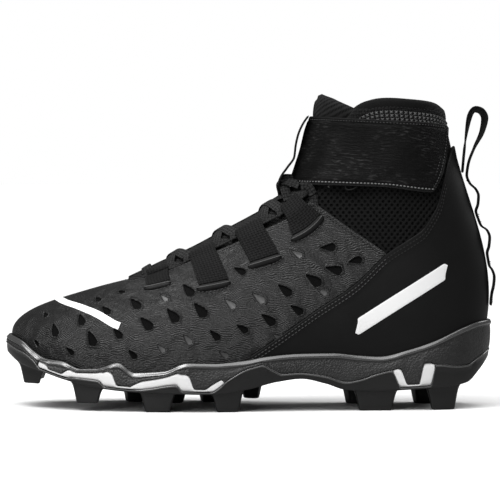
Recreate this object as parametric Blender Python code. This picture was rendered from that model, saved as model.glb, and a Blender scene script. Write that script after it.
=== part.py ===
"""A high-top american football cleat for the left foot, built from its last outwards.

Millimetres inside the script, metres in the scene. The toe points along -X, the lateral side
faces -Y and the lugs stand on z = 0. Every piece is worked out from the sizes below.
"""

import functools
import math

import bmesh
import bpy
import numpy as np
from mathutils import Vector

MM = 0.001

# Driving dimensions
LENGTH = 295.0  # toe bumper to heel cup
BALL_WIDTH = 101.0  # sole, across the ball
HEEL_WIDTH = 72.0  # sole, across the heel
TOE_SWING = 5.0  # how far the toe tip leans to the inner side
LUG_HEIGHT = 11.0  # floor to the under-face of the sole at the ball
TOE_SPRING = 22.0  # rise of the under-face from the ball to the toe tip
BED_HEIGHT = 7.0  # under-face to foot bed at the ball
CUP_HEIGHT = 42.0  # under-face to the highest point of the heel cup
COLLAR_HEIGHT = 187.0  # floor to collar rim
VAMP_HEIGHT = 77.5  # floor to the front end of the throat
THROAT_WIDTH = 46.0  # widest gap between the eyestays
COLLAR_WIDTH = 66.0  # collar opening, side to side

RIBBON_REACH = 3.4  # how far the heel ribbon stands behind the heel cup

# Walls and clearances
GAP = 0.35  # between pieces that are sewn, glued or moulded together
WRAP_GAP = 1.6  # between the strap and the curved ankle that it wraps
SKIN_WALL = 1.1  # vamp and quarter skins
SKIN_GAP = 0.8  # between those skins and the bootie
UPPER_WALL = 2.2  # knitted bootie that carries the skins
COLLAR_PAD = 2.6  # what the padding adds to the bootie wall at the collar
TONGUE_WALL = 3.2
INSOLE_WALL = 3.6
RIM_WALL = 1.9  # sole rim beside the upper
FEATHER_INSET = 5.2  # sole edge to the lower edge of the upper
PLATE_WALL = 1.4  # floors and lips of the outsole and of the white plate
STRAP_WALL = 2.4
WEB_WALL = 1.1  # lace webbing, keeper and heel ribbon
LACE_WIDTH = 6.5
LACE_WALL = 1.3
LACE_FOLDED = 1.6  # width of the lace where it runs inside a loop
LACE_INSET = 1.8  # from the eyestay's edge to the lace inside a loop
KEEPER_WIDTH = 15.0
RIBBON_WIDTH = 12.0

# Sole outline, toe to heel: shares of LENGTH and of the local half width
OUTLINE = (  # along, lateral, medial
    (0.000, 0.00, 0.00),
    (0.022, 0.28, 0.46),
    (0.080, 0.60, 0.72),
    (0.165, 0.82, 0.87),
    (0.260, 0.96, 0.94),
    (0.350, 1.02, 0.94),
    (0.440, 1.03, 0.87),
    (0.530, 1.01, 0.76),
    (0.620, 1.00, 0.72),
    (0.710, 1.00, 0.78),
    (0.790, 1.00, 0.86),
    (0.870, 0.95, 0.92),
    (0.940, 0.74, 0.76),
    (0.984, 0.40, 0.42),
    (1.000, 0.00, 0.00),
)

# Throat and collar edge that each of those rows climbs to, and the fullness on its way there
OPENING = (  # along, height, lateral, medial, bulge, rise, shoulder, drop
    (0.252, 1.000, 0.00, 0.00, 0.22, 0.42, 0.78, 0.34),
    (0.254, 1.000, 0.20, 0.20, 0.20, 0.45, 0.74, 0.32),
    (0.262, 1.003, 0.42, 0.42, 0.16, 0.48, 0.70, 0.28),
    (0.286, 1.020, 0.64, 0.64, 0.13, 0.50, 0.66, 0.20),
    (0.330, 1.070, 0.81, 0.81, 0.10, 0.48, 0.62, 0.16),
    (0.386, 1.160, 0.92, 0.92, 0.09, 0.44, 0.56, 0.18),
    (0.456, 1.270, 0.98, 0.98, 0.09, 0.40, 0.48, 0.22),
    (0.530, 1.395, 1.00, 1.00, 0.10, 0.38, 0.40, 0.26),
    (0.600, 1.530, 0.98, 0.98, 0.09, 0.36, 0.36, 0.28),
    (0.652, 1.800, 0.96, 0.96, 0.08, 0.34, 0.30, 0.30),
    (0.690, 2.220, 0.98, 0.98, 0.06, 0.34, 0.22, 0.32),
    (0.752, 2.418, 1.36, 1.36, 0.05, 0.35, 0.16, 0.33),
    (0.836, 2.420, 1.32, 1.32, 0.07, 0.38, 0.12, 0.35),
    (0.894, 2.390, 0.76, 0.76, 0.10, 0.38, 0.20, 0.36),
    (0.913, 2.345, 0.00, 0.00, 0.12, 0.38, 0.26, 0.36),
)

# Levels along the sole: shares of TOE_SPRING, BED_HEIGHT and CUP_HEIGHT above the lugs
UNDER = (
    (0.00, 1.00), (0.03, 0.73), (0.08, 0.53), (0.13, 0.33), (0.20, 0.13), (0.27, 0.045),
    (0.36, 0.00), (0.43, -0.02), (0.50, 0.11), (0.56, 0.31), (0.61, 0.39), (0.66, 0.25),
    (0.70, 0.08), (0.76, 0.03), (0.83, 0.07), (0.90, 0.12), (0.95, 0.23), (0.98, 0.59), (1.00, 0.91),
)
BED = (
    (0.00, 3.93), (0.03, 3.14), (0.08, 2.50), (0.13, 1.78), (0.20, 1.30), (0.27, 1.08),
    (0.36, 1.00), (0.43, 1.00), (0.50, 1.55), (0.60, 2.10), (0.70, 1.95), (0.83, 2.00),
    (0.90, 2.15), (0.95, 2.50), (0.98, 3.20), (1.00, 3.70),
)
RIM = (
    (0.000, 0.776), (0.030, 0.695), (0.055, 0.560), (0.080, 0.465), (0.120, 0.430),
    (0.155, 0.335), (0.190, 0.340), (0.235, 0.425), (0.270, 0.290), (0.330, 0.312),
    (0.378, 0.425), (0.430, 0.420), (0.500, 0.464), (0.540, 0.515), (0.610, 0.553),
    (0.675, 0.556), (0.727, 0.521), (0.770, 0.503), (0.830, 0.595), (0.885, 0.717),
    (0.950, 0.915), (0.980, 0.985), (1.000, 1.000),
)

# Height of the lug panels' upper edge above the under-face, as a share of LUG_HEIGHT
LUG_EDGE = (
    (0.000, 0.60), (0.034, 0.75), (0.061, 0.50), (0.076, 0.13), (0.128, 0.13), (0.142, 0.26),
    (0.196, 0.42), (0.212, 0.13), (0.268, 0.13), (0.300, 0.24), (0.356, 0.48), (0.370, 0.13),
    (0.425, 0.13), (0.446, 0.42), (0.460, 0.72), (0.510, 1.15), (0.527, 1.15), (0.550, 0.73),
    (0.572, 0.38), (0.620, 0.32), (0.660, 0.40), (0.697, 0.42), (0.727, 0.60), (0.767, 0.98),
    (0.791, 1.05), (0.812, 0.13), (0.864, 0.13), (0.880, 1.20), (0.930, 1.06), (0.964, 0.92),
    (1.000, 0.45),
)
# Height of the white plate that shows above that edge, in the same share
WINDOW = (
    (0.000, 0.00), (0.068, 0.00), (0.074, 0.38), (0.088, 0.34), (0.096, 0.00), (0.112, 0.00),
    (0.134, 0.44), (0.187, 0.50), (0.202, 0.60), (0.214, 0.88), (0.224, 0.80), (0.238, 0.00),
    (0.258, 0.00), (0.268, 0.26), (0.290, 0.46), (0.330, 0.48), (0.355, 0.64), (0.372, 0.98),
    (0.381, 0.90), (0.396, 0.00), (0.408, 0.00), (0.418, 0.20), (0.432, 0.42), (0.447, 0.36),
    (0.456, 0.00), (0.792, 0.00), (0.809, 0.92), (0.824, 0.00), (0.846, 0.00), (0.858, 1.18),
    (0.871, 1.20), (0.884, 0.00), (1.000, 0.00),
)

# Seams in the side view: share of LENGTH, share of COLLAR_HEIGHT
QUARTER_TOP = (
    (0.505, 0.174), (0.560, 0.232), (0.640, 0.320), (0.720, 0.404), (0.786, 0.502),
    (0.830, 0.547), (0.857, 0.577), (0.874, 0.616), (0.889, 0.660), (0.902, 0.740),
    (0.920, 0.830), (0.945, 0.872), (1.100, 0.874),
)
EYESTAY_END = ((0.620, 0.690), (0.637, 0.668), (0.786, 0.502), (0.950, 0.320))

# Lugs: name, along, side, share of the way in from the edge, foot length, foot width, lift
LUGS = (
    ("toe_out", 0.056, -1, 0.16, 9.5, 11.0, 15.0),
    ("toe_in", 0.056, 1, 0.16, 9.5, 11.0, 15.0),
    ("fore_out", 0.174, -1, 0.03, 12.5, 12.0, 4.8),
    ("fore_in", 0.166, 1, 0.03, 12.5, 12.0, 5.4),
    ("ball_out", 0.318, -1, 0.02, 14.5, 13.0, 0.0),
    ("ball_in", 0.268, 1, 0.02, 14.0, 13.0, 0.0),
    ("ball_mid", 0.345, 1, 0.82, 12.0, 11.0, 2.0),
    ("waist_out", 0.460, -1, 0.02, 12.5, 12.0, 0.0),
    ("waist_in", 0.424, 1, 0.02, 12.5, 12.0, 0.0),
    ("arch_in", 0.508, 1, 0.30, 9.0, 9.0, 3.5),
    ("heel_fore_out", 0.761, -1, 0.02, 19.0, 12.0, 0.0),
    ("heel_fore_in", 0.738, 1, 0.02, 18.0, 12.0, 0.0),
    ("heel_rear_out", 0.900, -1, 0.04, 13.5, 11.0, 0.0),
    ("heel_rear_in", 0.872, 1, 0.04, 13.5, 11.0, 0.0),
)
LUG_FLARE = 6.0  # how much longer a lug is at its root than at its foot
LACE_DIP = 0.072  # how far the top bar sags towards the toe, as a share of the way to the heel
LUG_TUCK = 1.8  # how far a lug's foot draws in from the sole's edge

# Tongue: along the throat, how far its crown stands above the line between the eyestays
CROWN = (
    (0.252, 1.0), (0.262, 2.0), (0.286, 3.8), (0.330, 5.8), (0.386, 6.3), (0.456, 8.4),
    (0.530, 10.1), (0.600, 12.9), (0.652, 14.0), (0.690, 15.5), (0.720, 17.0),
)
TONGUE_END = 0.716
TONGUE_TUCK = 0.92  # how far down the meridians its sides reach

# Lace loops: share of the throat front and rear at the rim, front and rear at the slit, slit v
LACE_LOOPS = (
    (0.295, 0.339, 0.296, 0.343, 0.800),
    (0.384, 0.436, 0.402, 0.462, 0.680),
    (0.482, 0.536, 0.506, 0.565, 0.760),
    (0.580, 0.622, 0.592, 0.650, 0.850),
)
# Outer face of a lace loop past the rim: distance past it, share of its full standing
LOOP_FOLD = (
    (1.3, 0.98), (3.1, 0.92), (4.6, 0.72), (5.0, 0.45), (4.5, 0.19), (3.0, 0.06), (1.2, 0.04),
)

# Strap: distance from its front along the ankle (share of LENGTH), lower edge, upper edge
STRAP = (
    (-0.360, 0.6990, 0.8900), (-0.320, 0.7010, 0.9180), (-0.220, 0.7180, 0.9300),
    (0.000, 0.7250, 0.9430), (0.220, 0.7180, 0.9300), (0.360, 0.7100, 0.9150),
)
STRAP_ENDS = (0.872, 0.902, 0.800)  # along: lateral lower corner, lateral upper corner, inner side
STRAP_COLUMNS = 26
STRAP_ROWS = 3

# Keeper in front of the strap: height (share of COLLAR_HEIGHT), stand off the strap
KEEPER_FOOT = (0.703, 0.714)  # heights between which its lower end lies on the tongue
KEEPER = (
    (0.724, 3.2), (0.746, 4.6), (0.778, 3.6), (0.820, 2.0), (0.866, 0.8), (0.918, 0.3),
    (0.946, 0.2),
)

# Heel ribbon, bottom to top: height (share of COLLAR_HEIGHT), stand off the heel
RIBBON = (
    (0.330, 0.0), (0.366, 0.4), (0.395, 1.7), (0.420, 2.4), (0.443, 1.6), (0.455, 0.3),
    (0.480, 0.0), (0.500, 0.2), (0.520, 2.2), (0.545, 3.8), (0.568, 3.3), (0.584, 0.8),
    (0.608, 0.1), (0.636, 0.2), (0.655, 2.7), (0.678, 4.5), (0.698, 4.2), (0.722, 1.8),
    (0.750, 1.5),
)
RIBBON_EYE = (  # the free loop at its top: height, distance behind the heel's seam line
    (0.790, 3.0), (0.842, 6.5), (0.900, 11.6), (0.940, 13.0), (0.962, 10.6), (0.966, 7.8),
    (0.950, 5.2), (0.900, 3.2), (0.842, 1.8), (0.790, 0.9), (0.762, 0.5),
)

# Stations round the shoe: (share of the way from toe to heel, steps up to it)
STATION_STEPS = ((0.20, 7), (0.44, 8), (0.74, 7), (0.865, 5), (1.00, 5))
UPPER_ROWS = 9


def curve_through(table, column=1):
    """A smooth function through a short table, by cubic Hermite pieces with limited slopes."""
    xs = np.array([row[0] for row in table], float)
    ys = np.array([row[column] for row in table], float)
    steps = np.diff(ys) / np.diff(xs)
    slopes = np.zeros(len(xs))
    for i in range(1, len(xs) - 1):
        if steps[i - 1] * steps[i] > 0:
            slopes[i] = 2 * steps[i - 1] * steps[i] / (steps[i - 1] + steps[i])
    slopes[0], slopes[-1] = steps[0], steps[-1]

    def value(x):
        x = min(max(x, xs[0]), xs[-1])
        i = min(int(np.searchsorted(xs, x, side="right")) - 1, len(xs) - 2)
        h = xs[i + 1] - xs[i]
        t = (x - xs[i]) / h
        return float(
            ys[i] * (1 + 2 * t) * (1 - t) ** 2
            + slopes[i] * h * t * (1 - t) ** 2
            + ys[i + 1] * t * t * (3 - 2 * t)
            + slopes[i + 1] * h * t * t * (t - 1)
        )

    return value


def closed_spline(knots, values):
    """A closed curve with smooth curvature through values at knots. The last knot is the period."""
    n = len(values)
    h = np.diff(knots)
    matrix = np.zeros((n, n))
    right = np.zeros((n, values.shape[1]))
    for i in range(n):
        before, after = h[i - 1], h[i]
        matrix[i, (i - 1) % n] += before
        matrix[i, i] += 2 * (before + after)
        matrix[i, (i + 1) % n] += after
        rise_after = (values[(i + 1) % n] - values[i]) / after
        rise_before = (values[i] - values[i - 1]) / before
        right[i] = 6 * (rise_after - rise_before)
    bend = np.linalg.solve(matrix, right)

    def value(u):
        u = u % knots[-1]
        i = min(int(np.searchsorted(knots, u, side="right")) - 1, n - 1)
        j = (i + 1) % n
        a, b = knots[i + 1] - u, u - knots[i]
        return (
            bend[i] * a**3 / (6 * h[i])
            + bend[j] * b**3 / (6 * h[i])
            + (values[i] / h[i] - bend[i] * h[i] / 6) * a
            + (values[j] / h[i] - bend[j] * h[i] / 6) * b
        )

    return value


rise_of = curve_through(UNDER)
bed_of = curve_through(BED)
rim_of = curve_through(RIM)
lug_edge_of = curve_through(LUG_EDGE)
window_of = curve_through(WINDOW)
quarter_top_of = curve_through(QUARTER_TOP)
eyestay_end_of = curve_through(EYESTAY_END)


def half_width(along):
    t = min(max((along - 0.35) / 0.5, 0.0), 1.0)
    share = t * t * (3 - 2 * t)
    return (BALL_WIDTH * (1 - share) + HEEL_WIDTH * share) / 2


def under_height(along):
    return LUG_HEIGHT + TOE_SPRING * rise_of(along)


def bed_height(along):
    return LUG_HEIGHT + BED_HEIGHT * bed_of(along)


def rim_height(along):
    return LUG_HEIGHT + CUP_HEIGHT * rim_of(along)


def ring_rows():
    """One row of raw values for each table row, down the lateral side and back up the medial."""
    rows = []
    last = len(OUTLINE) - 1
    order = [(i, -1) for i in range(last + 1)] + [(i, 1) for i in range(last - 1, 0, -1)]
    for i, side in order:
        along, lateral, medial = OUTLINE[i]
        swing = TOE_SWING * max(0.0, 1 - along / 0.25) ** 2
        width = lateral if side < 0 else medial
        far, height, gap_lateral, gap_medial, bulge, rise, shoulder, drop = OPENING[i]
        gap = gap_lateral if side < 0 else gap_medial
        gap_size = THROAT_WIDTH / 2 if i < 11 else COLLAR_WIDTH / 2 / 1.34
        if i < 9:
            top = VAMP_HEIGHT * height
        else:
            top = COLLAR_HEIGHT * height / 2.42
        rows.append(
            (
                LENGTH * along,
                side * width * half_width(along) + swing,
                LENGTH * far,
                side * gap * gap_size,
                top,
                bulge,
                rise,
                shoulder,
                drop,
            )
        )
    return np.array(rows, float)


ROWS = ring_rows()
CHORDS = np.linalg.norm(np.roll(ROWS[:, :2], -1, axis=0) - ROWS[:, :2], axis=1)
KNOTS = np.concatenate([[0.0], np.cumsum(CHORDS)])
ring = functools.lru_cache(maxsize=None)(closed_spline(KNOTS, ROWS))
HEEL_KNOT = KNOTS[len(OUTLINE) - 1]
ROUND = KNOTS[-1]


def station(side, share):
    """The ring parameter at a share of the way from toe to heel, on the lateral (-1) or medial side."""
    return HEEL_KNOT * share if side < 0 else ROUND - (ROUND - HEEL_KNOT) * share


def station_shares():
    shares = [0.0]
    for end, steps in STATION_STEPS:
        start = shares[-1]
        shares += [start + (end - start) * (k + 1) / steps for k in range(steps)]
    return shares


SHARES = station_shares()
LATERAL = [station(-1, s) for s in SHARES]
MEDIAL = [station(1, s) for s in SHARES]
STATIONS = LATERAL + MEDIAL[-2:0:-1]


def outline_point(u):
    x, y = ring(u)[:2]
    return np.array([x, y])


@functools.lru_cache(maxsize=None)
def outward(u):
    """Horizontal direction out of the sole's edge."""
    step = 0.4
    along = outline_point(u + step) - outline_point(u - step)
    along /= np.linalg.norm(along)
    return np.array([-along[1], along[0]]) * -1


def last_point(u, v):
    """The outside of the upper: a meridian from the feather edge (v = 0) to the opening (v = 1)."""
    x, y, far, gap, top, bulge, rise, shoulder, drop = ring(u)
    out = outward(u)
    along = min(max(x / LENGTH, 0.0), 1.0)
    foot = np.array([x - out[0] * FEATHER_INSET, y - out[1] * FEATHER_INSET, bed_height(along)])
    edge = np.array([far, gap, top])
    tall = edge[2] - foot[2]
    low = foot + np.array([out[0] * bulge * tall, out[1] * bulge * tall, rise * tall])
    high = edge + np.array(
        [(foot[0] - edge[0]) * shoulder, (foot[1] - edge[1]) * shoulder, -drop * tall]
    )
    w = 1 - v
    return foot * w**3 + low * 3 * w * w * v + high * 3 * w * v * v + edge * v**3


def last_normal(u, v):
    du, dv = 0.5, 0.004
    low, high = max(v - dv, 0.0), min(v + dv, 1.0)
    round_step = last_point(u + du, v) - last_point(u - du, v)
    up_step = last_point(u, high) - last_point(u, low)
    normal = np.cross(round_step, up_step)
    return normal / np.linalg.norm(normal)


def skin_point(u, v, depth=0.0):
    """A point at a depth under the outside of the skins; negative depths stand proud of it."""
    return last_point(u, v) - last_normal(u, v) * depth


def first_crossing(u, inside, start=0.0, steps=120):
    """The v where inside(x, z) first turns false on the way up a meridian."""
    previous = start
    for k in range(1, steps + 1):
        v = start + (1 - start) * k / steps
        x, _, z = last_point(u, v)
        if not inside(x, z):
            low, high = previous, v
            for _ in range(24):
                middle = (low + high) / 2
                x, _, z = last_point(u, middle)
                low, high = (middle, high) if inside(x, z) else (low, middle)
            return low
        previous = v
    return 1.0


def v_at_height(u, height):
    return first_crossing(u, lambda x, z: z < height)


def quarter_edge(u):
    return first_crossing(
        u, lambda x, z: x > 0.505 * LENGTH and z < quarter_top_of(x / LENGTH) * COLLAR_HEIGHT
    )


def vamp_edge(u):
    return first_crossing(
        u, lambda x, z: x < 0.62 * LENGTH or z < eyestay_end_of(x / LENGTH) * COLLAR_HEIGHT
    )


def rim_v(u):
    along = min(max(ring(u)[0] / LENGTH, 0.0), 1.0)
    return v_at_height(u, rim_height(along))


# Mesh helpers


def split_quads(faces):
    """Every quad as two triangles on the same diagonal, so that nested layers stay parallel."""
    split = []
    for face in faces:
        if len(face) == 4:
            split += [(face[0], face[1], face[2]), (face[0], face[2], face[3])]
        else:
            split.append(face)
    return split


def add_object(name, points, faces, colour, roughness):
    mesh = bpy.data.meshes.new(name)
    mesh.from_pydata([Vector((p[0] - CENTRE_X, p[1] - CENTRE_Y, p[2])) * MM for p in points], [], faces)
    mesh.validate()
    obj = bpy.data.objects.new(name, mesh)
    bpy.context.scene.collection.objects.link(obj)
    work = bmesh.new()
    work.from_mesh(mesh)
    bmesh.ops.remove_doubles(work, verts=work.verts, dist=1e-6)
    bmesh.ops.recalc_face_normals(work, faces=work.faces)
    if work.calc_volume(signed=True) < 0:
        bmesh.ops.reverse_faces(work, faces=work.faces)
    work.to_mesh(mesh)
    work.free()
    finish_material(obj, colour, roughness)
    mesh.shade_smooth()
    mesh.set_sharp_from_angle(angle=math.radians(40))
    return obj


def finish_material(obj, colour, roughness):
    material = bpy.data.materials.new(obj.name)
    material.use_nodes = True
    shader = material.node_tree.nodes["Principled BSDF"]
    shader.inputs["Base Color"].default_value = (*colour, 1)
    shader.inputs["Roughness"].default_value = roughness
    shader.inputs["Metallic"].default_value = 0
    obj.data.materials.clear()
    obj.data.materials.append(material)


BLACK_SKIN = ((0.030, 0.030, 0.032), 0.55)
BLACK_SMOOTH = ((0.016, 0.016, 0.018), 0.45)
BLACK_KNIT = ((0.012, 0.012, 0.013), 0.85)
BLACK_RUBBER = ((0.028, 0.028, 0.030), 0.42)
BLACK_FOAM = ((0.040, 0.040, 0.042), 0.60)
BLACK_WEB = ((0.020, 0.020, 0.021), 0.75)
WHITE_PLATE = ((0.82, 0.82, 0.83), 0.35)


def bands(rings, closed=True):
    """Quads between neighbouring rings of equal length."""
    faces = []
    n = len(rings[0])
    for k in range(len(rings) - 1):
        for i in range(n if closed else n - 1):
            j = (i + 1) % n
            faces.append((k * n + i, k * n + j, (k + 1) * n + j, (k + 1) * n + i))
    return faces


def cross_cap(offset):
    """Quads across the shoe between the lateral and the medial stations of one ring."""
    last = len(SHARES) - 1
    total = len(STATIONS)

    def lateral(i):
        return offset + i

    def medial(i):
        return offset + (total - i) % total if i < last else offset + last

    faces = [(lateral(0), lateral(1), medial(1))]
    for i in range(1, last - 1):
        faces.append((lateral(i), lateral(i + 1), medial(i + 1), medial(i)))
    faces.append((lateral(last - 1), lateral(last), medial(last - 1)))
    return faces


def ring_solid(name, rings, finish):
    """A solid through closed rings over all stations, capped across the shoe at both ends."""
    total = len(STATIONS)
    points = [p for one in rings for p in one]
    faces = bands(rings) + cross_cap(0) + cross_cap(total * (len(rings) - 1))
    return add_object(name, points, split_quads(faces), *finish)


def sheet_solid(name, outer, inner, finish, closed=False):
    """A closed solid between two grids of rows, joined round their edges."""
    rows, columns = len(outer), len(outer[0])
    points = [p for row in outer for p in row] + [p for row in inner for p in row]
    half = rows * columns

    def at(layer, row, column):
        return layer * half + row * columns + column % columns

    faces = []
    wide = columns if closed else columns - 1
    for r in range(rows - 1):
        for c in range(wide):
            faces.append((at(0, r, c), at(0, r, c + 1), at(0, r + 1, c + 1), at(0, r + 1, c)))
            faces.append((at(1, r, c), at(1, r + 1, c), at(1, r + 1, c + 1), at(1, r, c + 1)))
    for c in range(wide):
        for r in (0, rows - 1):
            faces.append((at(0, r, c), at(0, r, c + 1), at(1, r, c + 1), at(1, r, c)))
    if not closed:
        for r in range(rows - 1):
            for c in (0, columns - 1):
                faces.append((at(0, r, c), at(0, r + 1, c), at(1, r + 1, c), at(1, r, c)))
    return add_object(name, points, split_quads(faces), *finish)


# Upper and skins

BOOT_DEPTH = SKIN_WALL + SKIN_GAP


def collar_padding(u, v):
    """Extra wall of the padded collar, fullest just under its rim."""
    x = ring(u)[0] / LENGTH
    near_collar = min(max((x - 0.66) / 0.12, 0.0), 1.0)
    return COLLAR_PAD * near_collar * math.sin(math.pi * min(max((v - 0.78) / 0.24, 0.0), 1.0))


def make_upper():
    """The bootie: one hollow wall from the feather edge to the throat and collar."""
    levels = [(k / UPPER_ROWS) for k in range(UPPER_ROWS + 1)]
    outer = [[skin_point(u, v, BOOT_DEPTH) for u in STATIONS] for v in levels]
    inner = [
        [skin_point(u, v, BOOT_DEPTH + UPPER_WALL + collar_padding(u, v)) for u in STATIONS]
        for v in levels
    ]
    return sheet_solid("upper", outer, inner, BLACK_KNIT, closed=True)


def skin_patch(name, stations, low_of, high_of, rows, finish):
    outer, inner = [], []
    for k in range(rows + 1):
        share = k / rows
        vs = [(u, low_of(u) + (high_of(u) - low_of(u)) * share) for u in stations]
        outer.append([skin_point(u, v, 0.0) for u, v in vs])
        inner.append([skin_point(u, v, SKIN_WALL) for u, v in vs])
    return sheet_solid(name, outer, inner, finish)


SKIN_FOOT = 0.015  # the skins stop this share above the feather edge


def make_vamp():
    """The textured skin of toe, vamp and eyestays, down to the seam with the quarter."""

    def low(u):
        edge = quarter_edge(u)
        return max(edge + 0.012, SKIN_FOOT) if edge > 0 else SKIN_FOOT

    def wide_enough(u):
        return vamp_edge(u) - low(u) > 0.03

    medial = [u for u in MEDIAL[::-1] if wide_enough(u)]
    lateral = [u for u in LATERAL if wide_enough(u)]
    stations = medial + lateral[1:]
    return skin_patch("vamp", stations, low, vamp_edge, 9, BLACK_SKIN)


def make_quarter():
    """The smooth skin of the heel, from the seam on one side round to the other."""

    def high(u):
        return quarter_edge(u)

    lateral = [u for u in LATERAL if high(u) > SKIN_FOOT + 0.05]
    medial = [u for u in MEDIAL if high(u) > SKIN_FOOT + 0.05]
    stations = lateral + medial[-2::-1]
    return skin_patch("quarter", stations, lambda u: SKIN_FOOT, high, 7, BLACK_SMOOTH)


# Sole


def sole_levels(u):
    """(along, under-face, lug panel edge, lower edge of the cage) at a station."""
    along = min(max(ring(u)[0] / LENGTH, 0.0), 1.0)
    under = under_height(along)
    lug_edge = under + LUG_HEIGHT * max(lug_edge_of(along), PLATE_WALL / LUG_HEIGHT)
    cage = max(lug_edge + GAP + LUG_HEIGHT * window_of(along), under + 2 * PLATE_WALL + 2 * GAP)
    ceiling = rim_height(along) - 1.6
    return along, under, min(lug_edge, ceiling - GAP), min(cage, ceiling)


def edge_table(side):
    shares = np.linspace(0.0, 1.0, 160)
    found = np.array([outline_point(station(side, share)) for share in shares])
    return found[np.argsort(found[:, 0])]


EDGES = {side: edge_table(side) for side in (-1, 1)}

# The part is centred on its overall box
CENTRE_X = (LENGTH + RIBBON_REACH) / 2
CENTRE_Y = (EDGES[-1][:, 1].min() + EDGES[1][:, 1].max()) / 2


def edge_y(x, side):
    """Where the sole's edge lies at a distance from the toe, on one side."""
    return float(np.interp(x, EDGES[side][:, 0], EDGES[side][:, 1]))


def edge_at(u, inset, z):
    x, y = outline_point(u)
    out = outward(u)
    return np.array([x - out[0] * inset, y - out[1] * inset, z])


def make_midsole():
    """The black cage: cup for the upper, side wall with its fangs, and heel counter."""
    ledge = 2 * PLATE_WALL + 2 * GAP
    names = ("bed", "cup", "lip_in", "lip_out", "wall", "edge", "ledge", "base")
    rings = {name: [] for name in names}
    for u in STATIONS:
        along, under, lug_edge, cage = sole_levels(u)
        top = rim_v(u)
        foot = skin_point(u, 0.0, -GAP)
        rings["bed"].append(np.array([foot[0], foot[1], last_point(u, 0.0)[2] - GAP]))
        rings["cup"].append(skin_point(u, top * 0.5, -GAP))
        rings["lip_in"].append(skin_point(u, top, -GAP))
        lip = skin_point(u, top, -GAP - RIM_WALL)
        rings["lip_out"].append(lip - np.array([0, 0, 0.5]))
        edge = edge_at(u, 0.0, cage)
        wall = edge * 0.5 + lip * 0.5
        out = outward(u)
        wall[:2] += out * 0.9
        rings["wall"].append(wall)
        rings["edge"].append(edge)
        rings["ledge"].append(edge_at(u, ledge, cage))
        rings["base"].append(edge_at(u, ledge, under + ledge + 0.01))
    return ring_solid("midsole", [rings[n] for n in names], BLACK_FOAM)


def make_plate():
    """The white plate whose lip shows in the windows between cage and lug panels."""
    inset = PLATE_WALL + GAP
    names = ("floor_top", "lip_in", "lip_out", "floor_under")
    rings = {name: [] for name in names}
    for u in STATIONS:
        along, under, lug_edge, cage = sole_levels(u)
        floor = under + PLATE_WALL + GAP
        top = max(cage - GAP, floor + PLATE_WALL)
        rings["floor_under"].append(edge_at(u, inset, floor))
        rings["lip_out"].append(edge_at(u, inset, top))
        rings["lip_in"].append(edge_at(u, inset + PLATE_WALL, top))
        rings["floor_top"].append(edge_at(u, inset + PLATE_WALL, floor + PLATE_WALL - 0.01))
    return ring_solid("plate", [rings[n] for n in names], WHITE_PLATE)


def lug_loop(along, side, inward, length, width, tuck, z_of):
    """A six-sided loop for a lug; its outer face follows the sole's edge."""
    x0 = LENGTH * along
    half = length / 2

    def corner(dx, deep):
        x = min(max(x0 + dx, 3.0), LENGTH - 3.0)
        middle = (edge_y(x0, -1) + edge_y(x0, 1)) / 2
        edge = edge_y(x, side) - side * tuck
        start = edge + (middle - edge) * inward
        return np.array([x, start - side * deep, z_of(x)])

    return [
        corner(-half, width * 0.06),
        corner(half, width * 0.06),
        corner(half * 1.06, width * 0.5),
        corner(half * 0.72, width),
        corner(-half * 0.72, width),
        corner(-half * 1.06, width * 0.5),
    ]


def make_lug(name, along, side, inward, length, width, lift):
    """One lug from its foot up into the outsole's floor."""

    def root(x):
        return under_height(min(max(x / LENGTH, 0.0), 1.0)) + PLATE_WALL * 0.5

    def waist(x):
        return lift + (root(x) - lift) * 0.55

    foot = lug_loop(along, side, inward, length, width, LUG_TUCK, lambda x: lift)
    middle = lug_loop(along, side, inward, length + LUG_FLARE * 0.4, width + 1.5, 1.1, waist)
    top = lug_loop(along, side, inward, length + LUG_FLARE, width + 3.0, 0.7, root)
    points = foot + middle + top
    n = len(foot)
    faces = bands([foot, middle, top]) + [tuple(range(n))] + [tuple(range(3 * n - 1, 2 * n - 1, -1))]
    return add_object("lug_" + name, points, faces, *BLACK_RUBBER)


def make_outsole():
    """The black outsole: a thin floor, lips up the side at the lug panels, and the moulded lugs."""
    names = ("floor_top", "lip_in", "lip_out", "floor_under")
    rings = {name: [] for name in names}
    for u in STATIONS:
        along, under, lug_edge, cage = sole_levels(u)
        top = max(lug_edge, under + PLATE_WALL)
        rings["floor_under"].append(edge_at(u, 0.6, under))
        rings["lip_out"].append(edge_at(u, 0.0, top))
        rings["lip_in"].append(edge_at(u, PLATE_WALL, top))
        rings["floor_top"].append(edge_at(u, PLATE_WALL, under + PLATE_WALL - 0.01))
    sole = ring_solid("outsole", [rings[n] for n in names], BLACK_RUBBER)
    for lug in LUGS:
        piece = make_lug(*lug)
        union = sole.modifiers.new(piece.name, "BOOLEAN")
        union.operation = "UNION"
        union.solver = "EXACT"
        union.object = piece
        piece.hide_render = True
        piece.display_type = "WIRE"
    return sole


def make_insole():
    """The removable insole on the foot bed."""
    clearance = 0.8
    depth = BOOT_DEPTH + UPPER_WALL + clearance
    names = ("top", "shoulder", "under")
    rings = {name: [] for name in names}
    for u in STATIONS:
        out = outward(u)
        foot = last_point(u, 0.0)
        base = foot[2]
        rings["under"].append(np.array([foot[0] - out[0] * depth, foot[1] - out[1] * depth, base]))
        rings["shoulder"].append(
            np.array([foot[0] - out[0] * depth, foot[1] - out[1] * depth, base + INSOLE_WALL * 0.7])
        )
        inner = depth + 2.5
        rings["top"].append(
            np.array([foot[0] - out[0] * inner, foot[1] - out[1] * inner, base + INSOLE_WALL])
        )
    return ring_solid("insole", [rings[n] for n in names], BLACK_KNIT)


# Tongue and the things across the throat


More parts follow.
